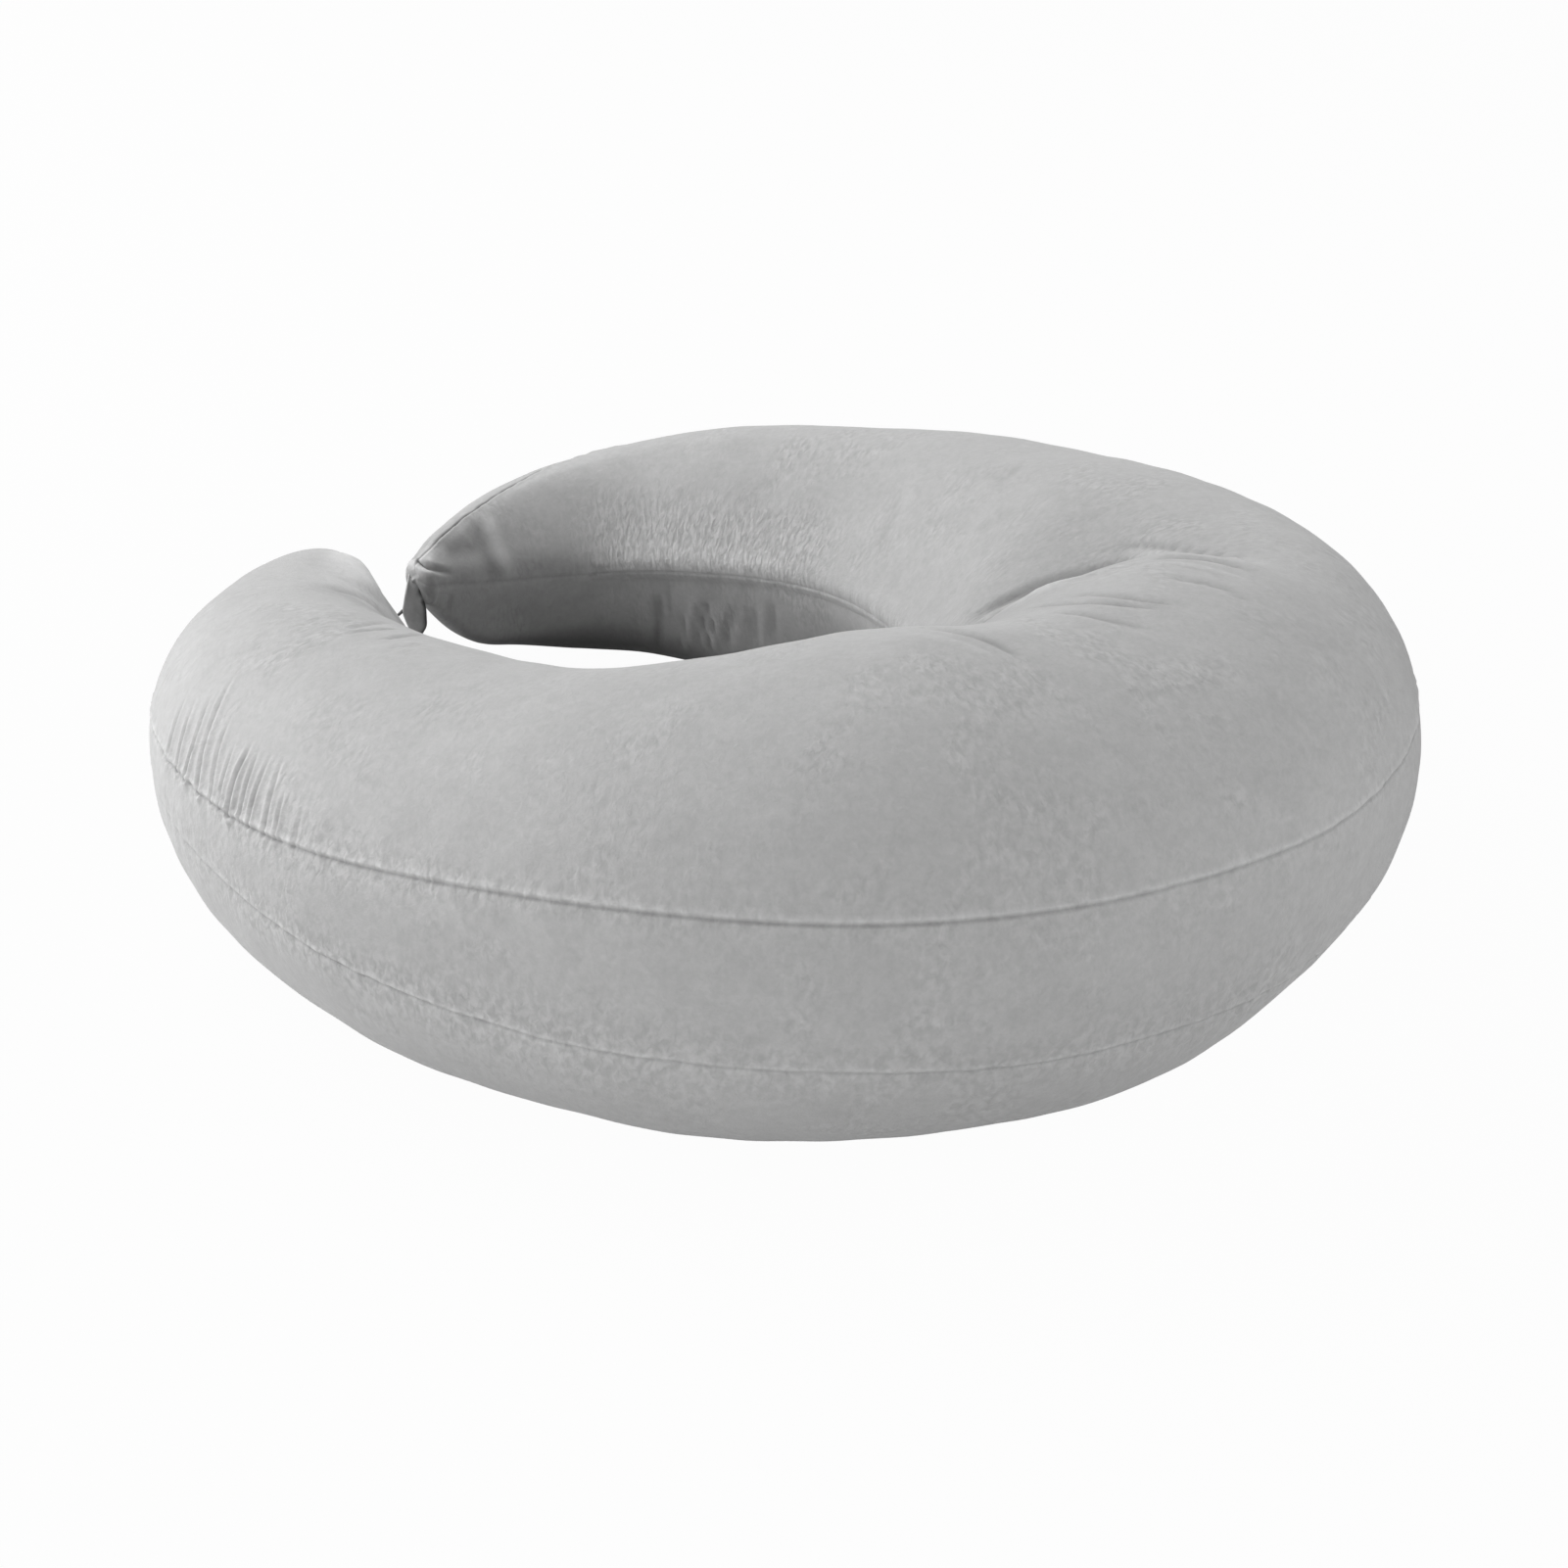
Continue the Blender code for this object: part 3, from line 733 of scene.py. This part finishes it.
def cover_points(form, settings):
    """The finished cover: the plain body moved along its normals by the sum of all reliefs.

    Gives the closed grid with its two end points, the pile's shades (stitch lines, painted shade,
    painted light and crushed pile), and the cloth's own places.
    """
    shift = plan_shift(form)
    angles, seam_at = column_angles(form)
    rows = np.arange(len(form.places))[:, None] + np.zeros(angles.shape[1])
    plain = form.read(rows, (angles + 180) % 360 - 180)
    relief, dark, crushed = seam_relief(plain, form, seam_at, settings)
    lip_relief, lip_painted_light, lip_crushed = hole_relief(plain, form, seam_at[0], settings)
    relief += lip_relief
    relief += pucker_relief(plain, form, seam_at, settings)
    relief += end_pleats(plain, form, settings)
    crushed = np.maximum(crushed, lip_crushed)
    crushed *= 1 - 0.65 * ramp(form.places[:, None], 1.56, 1.64)
    steps = np.diff(plain, axis=1, prepend=plain[:, :1])
    around = np.cumsum(np.linalg.norm(steps, axis=2), axis=1)
    uv = with_end_rows(np.stack([form.places[:, None] + 0 * around, around], axis=2))
    back, onwards = np.append(-form.travel[0], 0), np.append(form.travel[-1], 0)
    body, first_tip, last_tip = closed_ends(plain, back, onwards, END_DOME)
    inner = np.cos(closing_turns()) ** END_ROUNDING
    fade = np.concatenate([inner[::-1], np.ones(len(plain)), inner])[:, None]
    creases, shade = crease_relief(body, form, shift, settings)
    relief = with_end_rows(relief) * fade + creases
    relief += settings.lump_height * fade * waves(body, 9, 0.34, 0.14, seed=4)
    relief += settings.dimple_height * fade * waves(body, 16, 0.09, 0.035, seed=11)
    normals = outward(body)
    points = body + normals * relief[:, :, None] + shift
    points[:, :, 2] = above_floor(points[:, :, 2])
    # 'seam' holds the stitch lines' own dark with painted highlights on the seams' rolls and the
    # hole lip, and painted shade and light on the far arm, tip and blunt end; 'crease' holds the
    # creases' painted shade and light.
    shades = {
        "seam": with_end_rows(dark + lip_painted_light) * fade + painted_shade_and_light(form, points, normals),
        "crease": shade,
        "crushed": with_end_rows(crushed) * fade,
    }
    return points, first_tip + shift, last_tip + shift, shades, uv


def tab_points(settings):
    """The tab: rounded oblongs across its line, thicker at both edges where the strip is rolled.

    Gives the grid, how dark or light each point is (painted shade in the neck's fold, painted light
    on the left half, and a darker right edge), the distances along and across the strip, and the
    line's steps in y and z.
    """
    knots = np.cumsum([0, *np.hypot(*np.diff(np.array(TAB_ROWS)[:, :2], axis=0).T)])
    length = np.linspace(0, knots[-1], TAB_RINGS)
    line = curve_through(TAB_ROWS, length)
    y, z, left, right = line.T[:, :, None]
    step = np.gradient(line[:, :2], axis=0)
    step /= np.linalg.norm(step, axis=1)[:, None]
    turn = np.arange(TAB_SIDES)[None] * 2 * np.pi / TAB_SIDES
    across = np.sign(np.cos(turn)) * np.abs(np.cos(turn)) ** 0.5
    through = np.sign(np.sin(turn)) * np.abs(np.sin(turn)) ** 0.5
    rolled = settings.thickness / 2 * (0.8 + 0.5 * bump(np.abs(across) - 0.8, 0.18))
    wave = settings.wave * np.sin(across * 2.6 + z * 160)
    out = through * rolled + wave * ramp(z, 0.092, 0.072)
    middle = (left + right) / 2
    x = middle + across * (right - left) / 2
    points = np.stack([x, y + out * step[:, 1:], z - out * step[:, :1]], axis=2)
    hollow = np.hypot(x - TAB_HOLLOW[0], (z - TAB_HOLLOW[1]) / 2)
    # Darker along the right edge; painted shade in the fold at the neck; painted light on the left
    # half.
    dark = TAB_EDGE_DARK * bump(right - x, 0.0024) * ramp(z, 0.079, 0.074)
    dark = np.maximum(dark, TAB_HOLLOW_DARK * bump(hollow, 0.0022))
    dark -= TAB_LEFT_LIGHT * ramp(x - middle, -0.001, -0.004)
    return points, dark, np.stack([x, length[:, None] + 0 * x], axis=2), step


def tongue_points():
    """The tongue: ovals along a short slanting line, which narrow a little towards its end.

    Gives the grid, the way the line runs, and places along and round it.
    """
    start, stop = np.array(TONGUE_START), np.array(TONGUE_STOP)
    share = np.linspace(0, 1, TONGUE_RINGS)[:, None]
    turn = np.arange(TONGUE_SIDES)[None] * 2 * np.pi / TONGUE_SIDES
    run = (stop - start) / np.linalg.norm(stop - start)
    up = np.cross(run, (0, 1, 0))
    radius = TONGUE_RADIUS - TONGUE_TAPER * share + 0.00008 * np.sin(share * 40)
    middle = start + (stop - start) * share[:, :, None]
    middle = middle + up * 0.0005 * np.sin(share * np.pi)[:, :, None]
    rim = up * np.sin(turn)[:, :, None] * 0.8 + np.array((0, 1, 0)) * np.cos(turn)[:, :, None]
    uv = np.stack([share + 0 * turn, turn / 6 + 0 * share], axis=2)
    return middle + rim * radius[:, :, None], run, uv


# ---------------------------------------------------------------- materials


def new_group(name, vectors, values):
    """An empty shader node group that takes vectors in and gives values out."""
    group = bpy.data.node_groups.new(name, "ShaderNodeTree")
    for label in vectors:
        group.interface.new_socket(name=label, in_out="INPUT", socket_type="NodeSocketVector")
    for label in values:
        group.interface.new_socket(name=label, in_out="OUTPUT", socket_type="NodeSocketFloat")
    return group, group.nodes.new("NodeGroupInput"), group.nodes.new("NodeGroupOutput")


def new_material(name):
    """A new material, its node tree and its shader."""
    material = bpy.data.materials.new(name)
    material.use_nodes = True
    return material, material.node_tree, material.node_tree.nodes["Principled BSDF"]


def noise(tree, vector, scale, detail, roughness=0.5, distortion=0.0):
    """Fractal noise, from 0 to 1."""
    node = tree.nodes.new("ShaderNodeTexNoise")
    node.inputs["Scale"].default_value = scale
    node.inputs["Detail"].default_value = detail
    node.inputs["Roughness"].default_value = roughness
    node.inputs["Distortion"].default_value = distortion
    tree.links.new(vector, node.inputs["Vector"])
    return node.outputs["Fac"]


def math_node(tree, operation, first, second):
    """One sum of two sockets or numbers."""
    node = tree.nodes.new("ShaderNodeMath")
    node.operation = operation
    for socket, value in zip(node.inputs, (first, second)):
        if isinstance(value, (int, float)):
            socket.default_value = value
        else:
            tree.links.new(value, socket)
    return node.outputs[0]


def blend(tree, first, second, share):
    """A share of the first value and the rest of the second."""
    first = math_node(tree, "MULTIPLY", first, share)
    return math_node(tree, "ADD", first, math_node(tree, "MULTIPLY", second, 1 - share))


def spread(tree, value, low, high, to_low, to_high):
    """A value moved from one range to another, and kept inside it."""
    node = tree.nodes.new("ShaderNodeMapRange")
    node.inputs["From Min"].default_value = low
    node.inputs["From Max"].default_value = high
    node.inputs["To Min"].default_value = to_low
    node.inputs["To Max"].default_value = to_high
    tree.links.new(value, node.inputs["Value"])
    return node.outputs["Result"]


def tint(tree, shader, colour, bright):
    """Sets the shader's colour: a fixed one, times how bright each place is."""
    node = tree.nodes.new("ShaderNodeVectorMath")
    node.operation = "SCALE"
    node.inputs[0].default_value = colour
    tree.links.new(bright, node.inputs["Scale"])
    tree.links.new(node.outputs["Vector"], shader.inputs["Base Color"])


def stretched(tree, vector, scale, rotation=(0, 0, 0)):
    """A vector turned and stretched, each way by its own share."""
    node = tree.nodes.new("ShaderNodeMapping")
    node.inputs["Scale"].default_value = scale
    node.inputs["Rotation"].default_value = rotation
    tree.links.new(vector, node.inputs["Vector"])
    return node.outputs["Vector"]


def emboss(tree, shader, height, strength, distance):
    """Bends the shader's normal by a height."""
    node = tree.nodes.new("ShaderNodeBump")
    node.inputs["Strength"].default_value = strength
    node.inputs["Distance"].default_value = distance
    tree.links.new(height, node.inputs["Height"])
    tree.links.new(node.outputs["Normal"], shader.inputs["Normal"])


def shown_to_camera(tree, plain, shown, share):
    """One shader for the light that it gives off, mixed with another where the camera looks."""
    camera = tree.nodes.new("ShaderNodeLightPath").outputs["Is Camera Ray"]
    mix = tree.nodes.new("ShaderNodeMixShader")
    tree.links.new(math_node(tree, "MULTIPLY", camera, share), mix.inputs["Fac"])
    tree.links.new(plain, mix.inputs[1])
    tree.links.new(shown, mix.inputs[2])
    return mix.outputs["Shader"]


def attribute(tree, label):
    """A value that the piece's mesh carries."""
    node = tree.nodes.new("ShaderNodeAttribute")
    node.attribute_name = label
    return node.outputs["Fac"]


def pile_group():
    """Short plush pile: its tufts, the mottle where they lean apart, and its crinkle if crushed.

    The crinkle is drawn on the cloth, in streaks across the pillow's length.
    """
    outputs = ("Height", "Mottle", "Crinkle")
    group, enter, leave = new_group("Short pile", ("Vector", "Cloth"), outputs)
    at = enter.outputs["Vector"]
    tufts = noise(group, at, 620, 3, 0.6)
    clumps = noise(group, at, 240, 3, 0.6, 0.6)
    patches = noise(group, at, 80, 4, 0.6, 1.2)
    streaks = stretched(group, enter.outputs["Cloth"], (1.0, 0.45, 1.0))
    group.links.new(blend(group, clumps, tufts, 0.6), leave.inputs["Height"])
    group.links.new(blend(group, clumps, patches, 0.5), leave.inputs["Mottle"])
    group.links.new(noise(group, streaks, 300, 2, 0.5, 0.6), leave.inputs["Crinkle"])
    return group


def nap_group():
    """Brushed nap: broad soft patches, faint strokes, and places where the pile is crushed."""
    group, enter, leave = new_group("Brushed nap", ("Vector",), ("Shade", "Crushed"))
    at = enter.outputs["Vector"]
    broad = noise(group, at, 7, 3, 0.5, 0.4)
    strokes = noise(group, stretched(group, at, (0.45, 1, 1), (0.2, 0.3, 0.5)), 34, 4, 0.55, 1.0)
    rubbed = noise(group, at, 15, 3, 0.55, 0.8)
    group.links.new(blend(group, broad, strokes, 0.5), leave.inputs["Shade"])
    group.links.new(spread(group, rubbed, 0.48, 0.70, 0, 1), leave.inputs["Crushed"])
    return group


def plush_material(name, colour, groups):
    """Short grey plush: mottled pile, brushed nap, darker stitch lines, and painted shade and light.
    """
    material, tree, shader = new_material(name)
    place = tree.nodes.new("ShaderNodeTexCoord").outputs["Object"]
    pile = tree.nodes.new("ShaderNodeGroup")
    pile.node_tree = groups["pile"]
    nap = tree.nodes.new("ShaderNodeGroup")
    nap.node_tree = groups["nap"]
    cloth = tree.nodes.new("ShaderNodeUVMap")
    cloth.uv_map = "cloth"
    tree.links.new(place, pile.inputs["Vector"])
    tree.links.new(cloth.outputs["UV"], pile.inputs["Cloth"])
    tree.links.new(place, nap.inputs["Vector"])
    mottle = spread(tree, pile.outputs["Mottle"], 0.3, 0.7, 0.90, 1.10)
    patches = spread(tree, nap.outputs["Shade"], 0.3, 0.7, 0.95, 1.05)
    bright = math_node(tree, "MULTIPLY", mottle, patches)
    # 'seam' darkens stitch lines and carries painted shade and painted light; 'crease' carries
    # painted shade in creases and painted light on their lips.
    for label, dark in (("seam", 1.0), ("crease", 0.20)):
        low, high = 1 + MOST_SHADE * dark, 1 - MOST_SHADE * dark
        shaded = spread(tree, attribute(tree, label), -MOST_SHADE, MOST_SHADE, low, high)
        bright = math_node(tree, "MULTIPLY", bright, shaded)
    rubbed = math_node(tree, "MULTIPLY", nap.outputs["Crushed"], 0.7)
    crushed = math_node(tree, "MAXIMUM", attribute(tree, "crushed"), rubbed)
    crinkle = spread(tree, pile.outputs["Crinkle"], 0.35, 0.65, -0.20, 0.20)
    crinkle = math_node(tree, "MULTIPLY", crinkle, crushed)
    bright = math_node(tree, "MULTIPLY", bright, math_node(tree, "ADD", crinkle, 1.0))
    tint(tree, shader, colour, bright)
    ruffled = math_node(tree, "MULTIPLY", crinkle, 1.6)
    height = math_node(tree, "ADD", pile.outputs["Height"], ruffled)
    emboss(tree, shader, height, 0.5, 0.0012)
    shader.inputs["Roughness"].default_value = 0.95
    shader.inputs["Specular IOR Level"].default_value = 0.15
    shader.inputs["Sheen Weight"].default_value = 0.35
    shader.inputs["Sheen Roughness"].default_value = 0.6
    return material


def binding_material(colour):
    """Ribbed binding in a dark grey that is painted shade: fine ribs across it, over a rough thread.
    """
    material, tree, shader = new_material("dark binding")
    place = tree.nodes.new("ShaderNodeTexCoord").outputs["Object"]
    thread = noise(tree, place, 1500, 2)
    ribs = tree.nodes.new("ShaderNodeTexWave")
    ribs.inputs["Scale"].default_value = 420
    ribs.inputs["Distortion"].default_value = 0.8
    tree.links.new(place, ribs.inputs["Vector"])
    bright = spread(tree, math_node(tree, "ADD", thread, ribs.outputs["Fac"]), 0.4, 1.6, 0.8, 1.25)
    tint(tree, shader, colour, bright)
    emboss(tree, shader, ribs.outputs["Fac"], 0.4, 0.0003)
    shader.inputs["Roughness"].default_value = 0.9
    return material


def floor_material(colour):
    """A pale floor that the camera sees almost white, with only a soft shadow on it."""
    material, tree, shader = new_material("pale floor")
    shader.inputs["Base Color"].default_value = (*colour, 1)
    shader.inputs["Roughness"].default_value = 1.0
    glow = tree.nodes.new("ShaderNodeEmission")
    glow.inputs["Strength"].default_value = 1.0
    mixed = shown_to_camera(tree, shader.outputs["BSDF"], glow.outputs["Emission"], FLOOR_GLOW)
    tree.links.new(mixed, tree.nodes["Material Output"].inputs["Surface"])
    return material


def studio_world(room):
    """Faint even light all round, which the camera sees as a plain white backdrop."""
    world = bpy.data.worlds.new("studio")
    world.use_nodes = True
    tree = world.node_tree
    even = tree.nodes["Background"]
    white = tree.nodes.new("ShaderNodeBackground")
    for node, strength in ((even, room), (white, 1.0)):
        node.inputs["Color"].default_value = (1, 1, 1, 1)
        node.inputs["Strength"].default_value = strength
    mixed = shown_to_camera(tree, even.outputs["Background"], white.outputs["Background"], 1.0)
    tree.links.new(mixed, tree.nodes["World Output"].inputs["Surface"])
    return world


# ---------------------------------------------------------------- settings


class CoverSettings(bpy.types.PropertyGroup):
    """Sizes and colour of the plush cover."""

    colour: FloatVectorProperty(
        name="Plush", description="Colour of the cover",
        subtype="COLOR", default=(0.43, 0.43, 0.43), min=0, max=1,
    )
    seam_strength: FloatProperty(
        name="Seams", description="Depth of the seams' grooves, as a share", default=1.0, min=0
    )
    seam_dip: FloatProperty(
        name="Seam dip", description="Depth of the wide dip round a seam",
        default=0.0005, unit="LENGTH",
    )
    hole_lip: FloatProperty(
        name="Hole lip", description="How far the top panel stands out over the hole's seam",
        default=0.0035, unit="LENGTH",
    )
    hole_tuck: FloatProperty(
        name="Hole tuck", description="How far the wall under that seam is drawn in",
        default=0.006, unit="LENGTH",
    )
    taper: FloatProperty(
        name="Tapered end", description="How far the tapered end is drawn in",
        default=0.0045, unit="LENGTH",
    )
    gather_strength: FloatProperty(
        name="Gathers", description="Depth of the gathered wrinkles, as a share", default=1.0, min=0
    )
    fold_strength: FloatProperty(
        name="Folds", description="Depth of the creases, as a share", default=1.0, min=0
    )
    pucker_height: FloatProperty(
        name="Puckers", description="Height of the puckers along the seams",
        default=0.0004, unit="LENGTH",
    )
    wall_pleat: FloatProperty(
        name="Wall pleats", description="Height of the pleats on the far wall",
        default=0.0005, unit="LENGTH",
    )
    end_pleat: FloatProperty(
        name="End pleats", description="Height of the pleats at the blunt end",
        default=0.0020, unit="LENGTH",
    )
    lump_height: FloatProperty(
        name="Lumps", description="Height of the filling's broad lumps",
        default=0.0011, unit="LENGTH",
    )
    dimple_height: FloatProperty(
        name="Dimples", description="Height of the small dimples", default=0.00025, unit="LENGTH"
    )


class TabSettings(bpy.types.PropertyGroup):
    """Sizes of the end tab."""

    # The binding's dark grey is painted shade: the plush grey made darker for the shade the thin
    # tongue lies in.
    binding: FloatVectorProperty(
        name="Binding", description="Colour of the binding",
        subtype="COLOR", default=(0.13, 0.13, 0.13), min=0, max=1,
    )
    cut: FloatVectorProperty(
        name="Cut", description="Width and length of the doubled strip",
        size=2, default=(0.016, 0.053), unit="LENGTH",
    )
    thickness: FloatProperty(
        name="Thickness", description="Thickness of the doubled strip",
        default=0.0028, unit="LENGTH",
    )
    wave: FloatProperty(
        name="Wave", description="Height of the strip's soft waves", default=0.0006, unit="LENGTH"
    )


class StageSettings(bpy.types.PropertyGroup):
    """Floor, light and camera."""

    floor: FloatVectorProperty(
        name="Floor", description="Colour of the floor",
        subtype="COLOR", default=(0.4, 0.4, 0.4), min=0, max=1,
    )
    key_power: FloatProperty(
        name="Key light", description="Power of the high left light", default=50, unit="POWER"
    )
    low_power: FloatProperty(
        name="Low light", description="Power of the low left light", default=75, unit="POWER"
    )
    front_power: FloatProperty(
        name="Front light", description="Power of the low front light", default=76, unit="POWER"
    )
    right_power: FloatProperty(
        name="Right light", description="Power of the right light", default=58, unit="POWER"
    )
    room: FloatProperty(
        name="Room light", description="Strength of the light all round", default=0.06, min=0
    )
    distance: FloatProperty(
        name="Camera distance", description="From the camera to the point it looks at",
        default=2.4, unit="LENGTH",
    )
    height: FloatProperty(
        name="Camera height", description="Degrees above level", default=29, min=0, max=90
    )
    lens: FloatProperty(name="Lens", description="Focal length in millimetres", default=87, min=1)


# ---------------------------------------------------------------- operators


def shared_groups():
    """The node groups for plush, made once."""
    made = bpy.data.node_groups
    return {
        "pile": made.get("Short pile") or pile_group(),
        "nap": made.get("Brushed nap") or nap_group(),
    }


class PILLOW_OT_cover(bpy.types.Operator):
    """Builds the pillow's padded cover."""

    bl_idname = "pillow.cover"
    bl_label = "Build cover"

    def execute(self, context):
        settings = context.scene.pillow_cover
        form = Form(row_places())
        points, first_tip, last_tip, shades, uv = cover_points(form, settings)
        mesh = grid_mesh("cover", points, first_tip, last_tip, shades, uv)
        plush = plush_material("grey plush", settings.colour, shared_groups())
        cover = placed("cover", mesh, plush)
        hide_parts("pillow_body")
        return {"FINISHED"}


class PILLOW_OT_tab(bpy.types.Operator):
    """Builds the end tab and the stitched tongue at its edge."""

    bl_idname = "pillow.tab"
    bl_label = "Build tab"

    def execute(self, context):
        settings = context.scene.pillow_tab
        points, dark, uv, step = tab_points(settings)
        first_way, last_way = np.append(0, -step[0]), np.append(0, step[-1])
        dome = settings.thickness / 2
        points, first_tip, last_tip = closed_ends(points, first_way, last_way, dome)
        # The tab's painted shade and painted light go into its 'seam' attribute.
        shades = {"seam": with_end_rows(dark)}
        mesh = grid_mesh("tab", points, first_tip, last_tip, shades, with_end_rows(uv))
        plush = plush_material("tab plush", context.scene.pillow_cover.colour, shared_groups())
        tab = placed("tab", mesh, plush)
        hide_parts("end_tab")
        points, run, uv = tongue_points()
        points, first_tip, last_tip = closed_ends(points, -run, run, 0.0004)
        mesh = grid_mesh("tongue", points, first_tip, last_tip, {}, with_end_rows(uv))
        tongue = placed("tongue", mesh, binding_material(settings.binding))
        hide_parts("tab_tongue")
        return {"FINISHED"}


def off_to(turn, rise):
    """The way to a place at degrees clockwise from the back and degrees above level."""
    turn, rise = math.radians(turn), math.radians(rise)
    level = math.cos(rise)
    return Vector((math.sin(turn) * level, math.cos(turn) * level, math.sin(rise)))


def stand_off(made, target, way, distance):
    """Stands a light or a camera off from a target along a way, and turns it to face there."""
    made.location = Vector(target) + distance * way
    made.rotation_euler = way.to_track_quat("Z", "Y").to_euler()


class PILLOW_OT_stage(bpy.types.Operator):
    """Builds the floor, the lights and the camera."""

    bl_idname = "pillow.stage"
    bl_label = "Build stage"

    def execute(self, context):
        settings = context.scene.pillow_stage
        scene = context.scene
        mesh = bpy.data.meshes.new("floor")
        reach = FLOOR_REACH
        corners = [(-reach, -reach, 0), (reach, -reach, 0), (reach, reach, 0), (-reach, reach, 0)]
        mesh.from_pydata(corners, [], [(0, 1, 2, 3)])
        mesh.materials.append(floor_material(settings.floor))
        linked("floor", mesh)
        for lamp in LAMPS:
            light = bpy.data.lights.new(lamp.name, "AREA")
            light.size = lamp.size
            light.energy = getattr(settings, lamp.power)
            stand_off(linked(lamp.name, light), LAMPS_AT, off_to(lamp.turn, lamp.rise), LAMPS_OFF)
        scene.world = studio_world(settings.room)
        scene.view_settings.view_transform = "Standard"
        camera = linked("camera", bpy.data.cameras.new("camera"))
        camera.data.lens = settings.lens
        stand_off(camera, LOOK_AT, off_to(180, settings.height), settings.distance)
        scene.camera = camera
        return {"FINISHED"}


class PILLOW_PT_panel(bpy.types.Panel):
    """Lists the pillow's settings and what it builds."""

    bl_idname = "PILLOW_PT_panel"
    bl_label = "Reading pillow"
    bl_space_type = "VIEW_3D"
    bl_region_type = "UI"
    bl_category = "Pillow"

    def draw(self, context):
        for holder, operator in (
            (context.scene.pillow_cover, "pillow.cover"),
            (context.scene.pillow_tab, "pillow.tab"),
            (context.scene.pillow_stage, "pillow.stage"),
        ):
            box = self.layout.box()
            for label in holder.__annotations__:
                box.prop(holder, label)
            box.operator(operator)


CLASSES = (
    CoverSettings,
    TabSettings,
    StageSettings,
    PILLOW_OT_cover,
    PILLOW_OT_tab,
    PILLOW_OT_stage,
    PILLOW_PT_panel,
)


def register():
    """Makes the classes and the settings known."""
    for kind in CLASSES:
        bpy.utils.register_class(kind)
    bpy.types.Scene.pillow_cover = PointerProperty(type=CoverSettings)
    bpy.types.Scene.pillow_tab = PointerProperty(type=TabSettings)
    bpy.types.Scene.pillow_stage = PointerProperty(type=StageSettings)


def unregister():
    """Takes them away again."""
    del bpy.types.Scene.pillow_stage
    del bpy.types.Scene.pillow_tab
    del bpy.types.Scene.pillow_cover
    for kind in reversed(CLASSES):
        bpy.utils.unregister_class(kind)


def main():
    """Builds everything."""
    register()
    bpy.ops.pillow.cover()
    bpy.ops.pillow.tab()
    bpy.ops.pillow.stage()


if __name__ == "__main__":
    main()
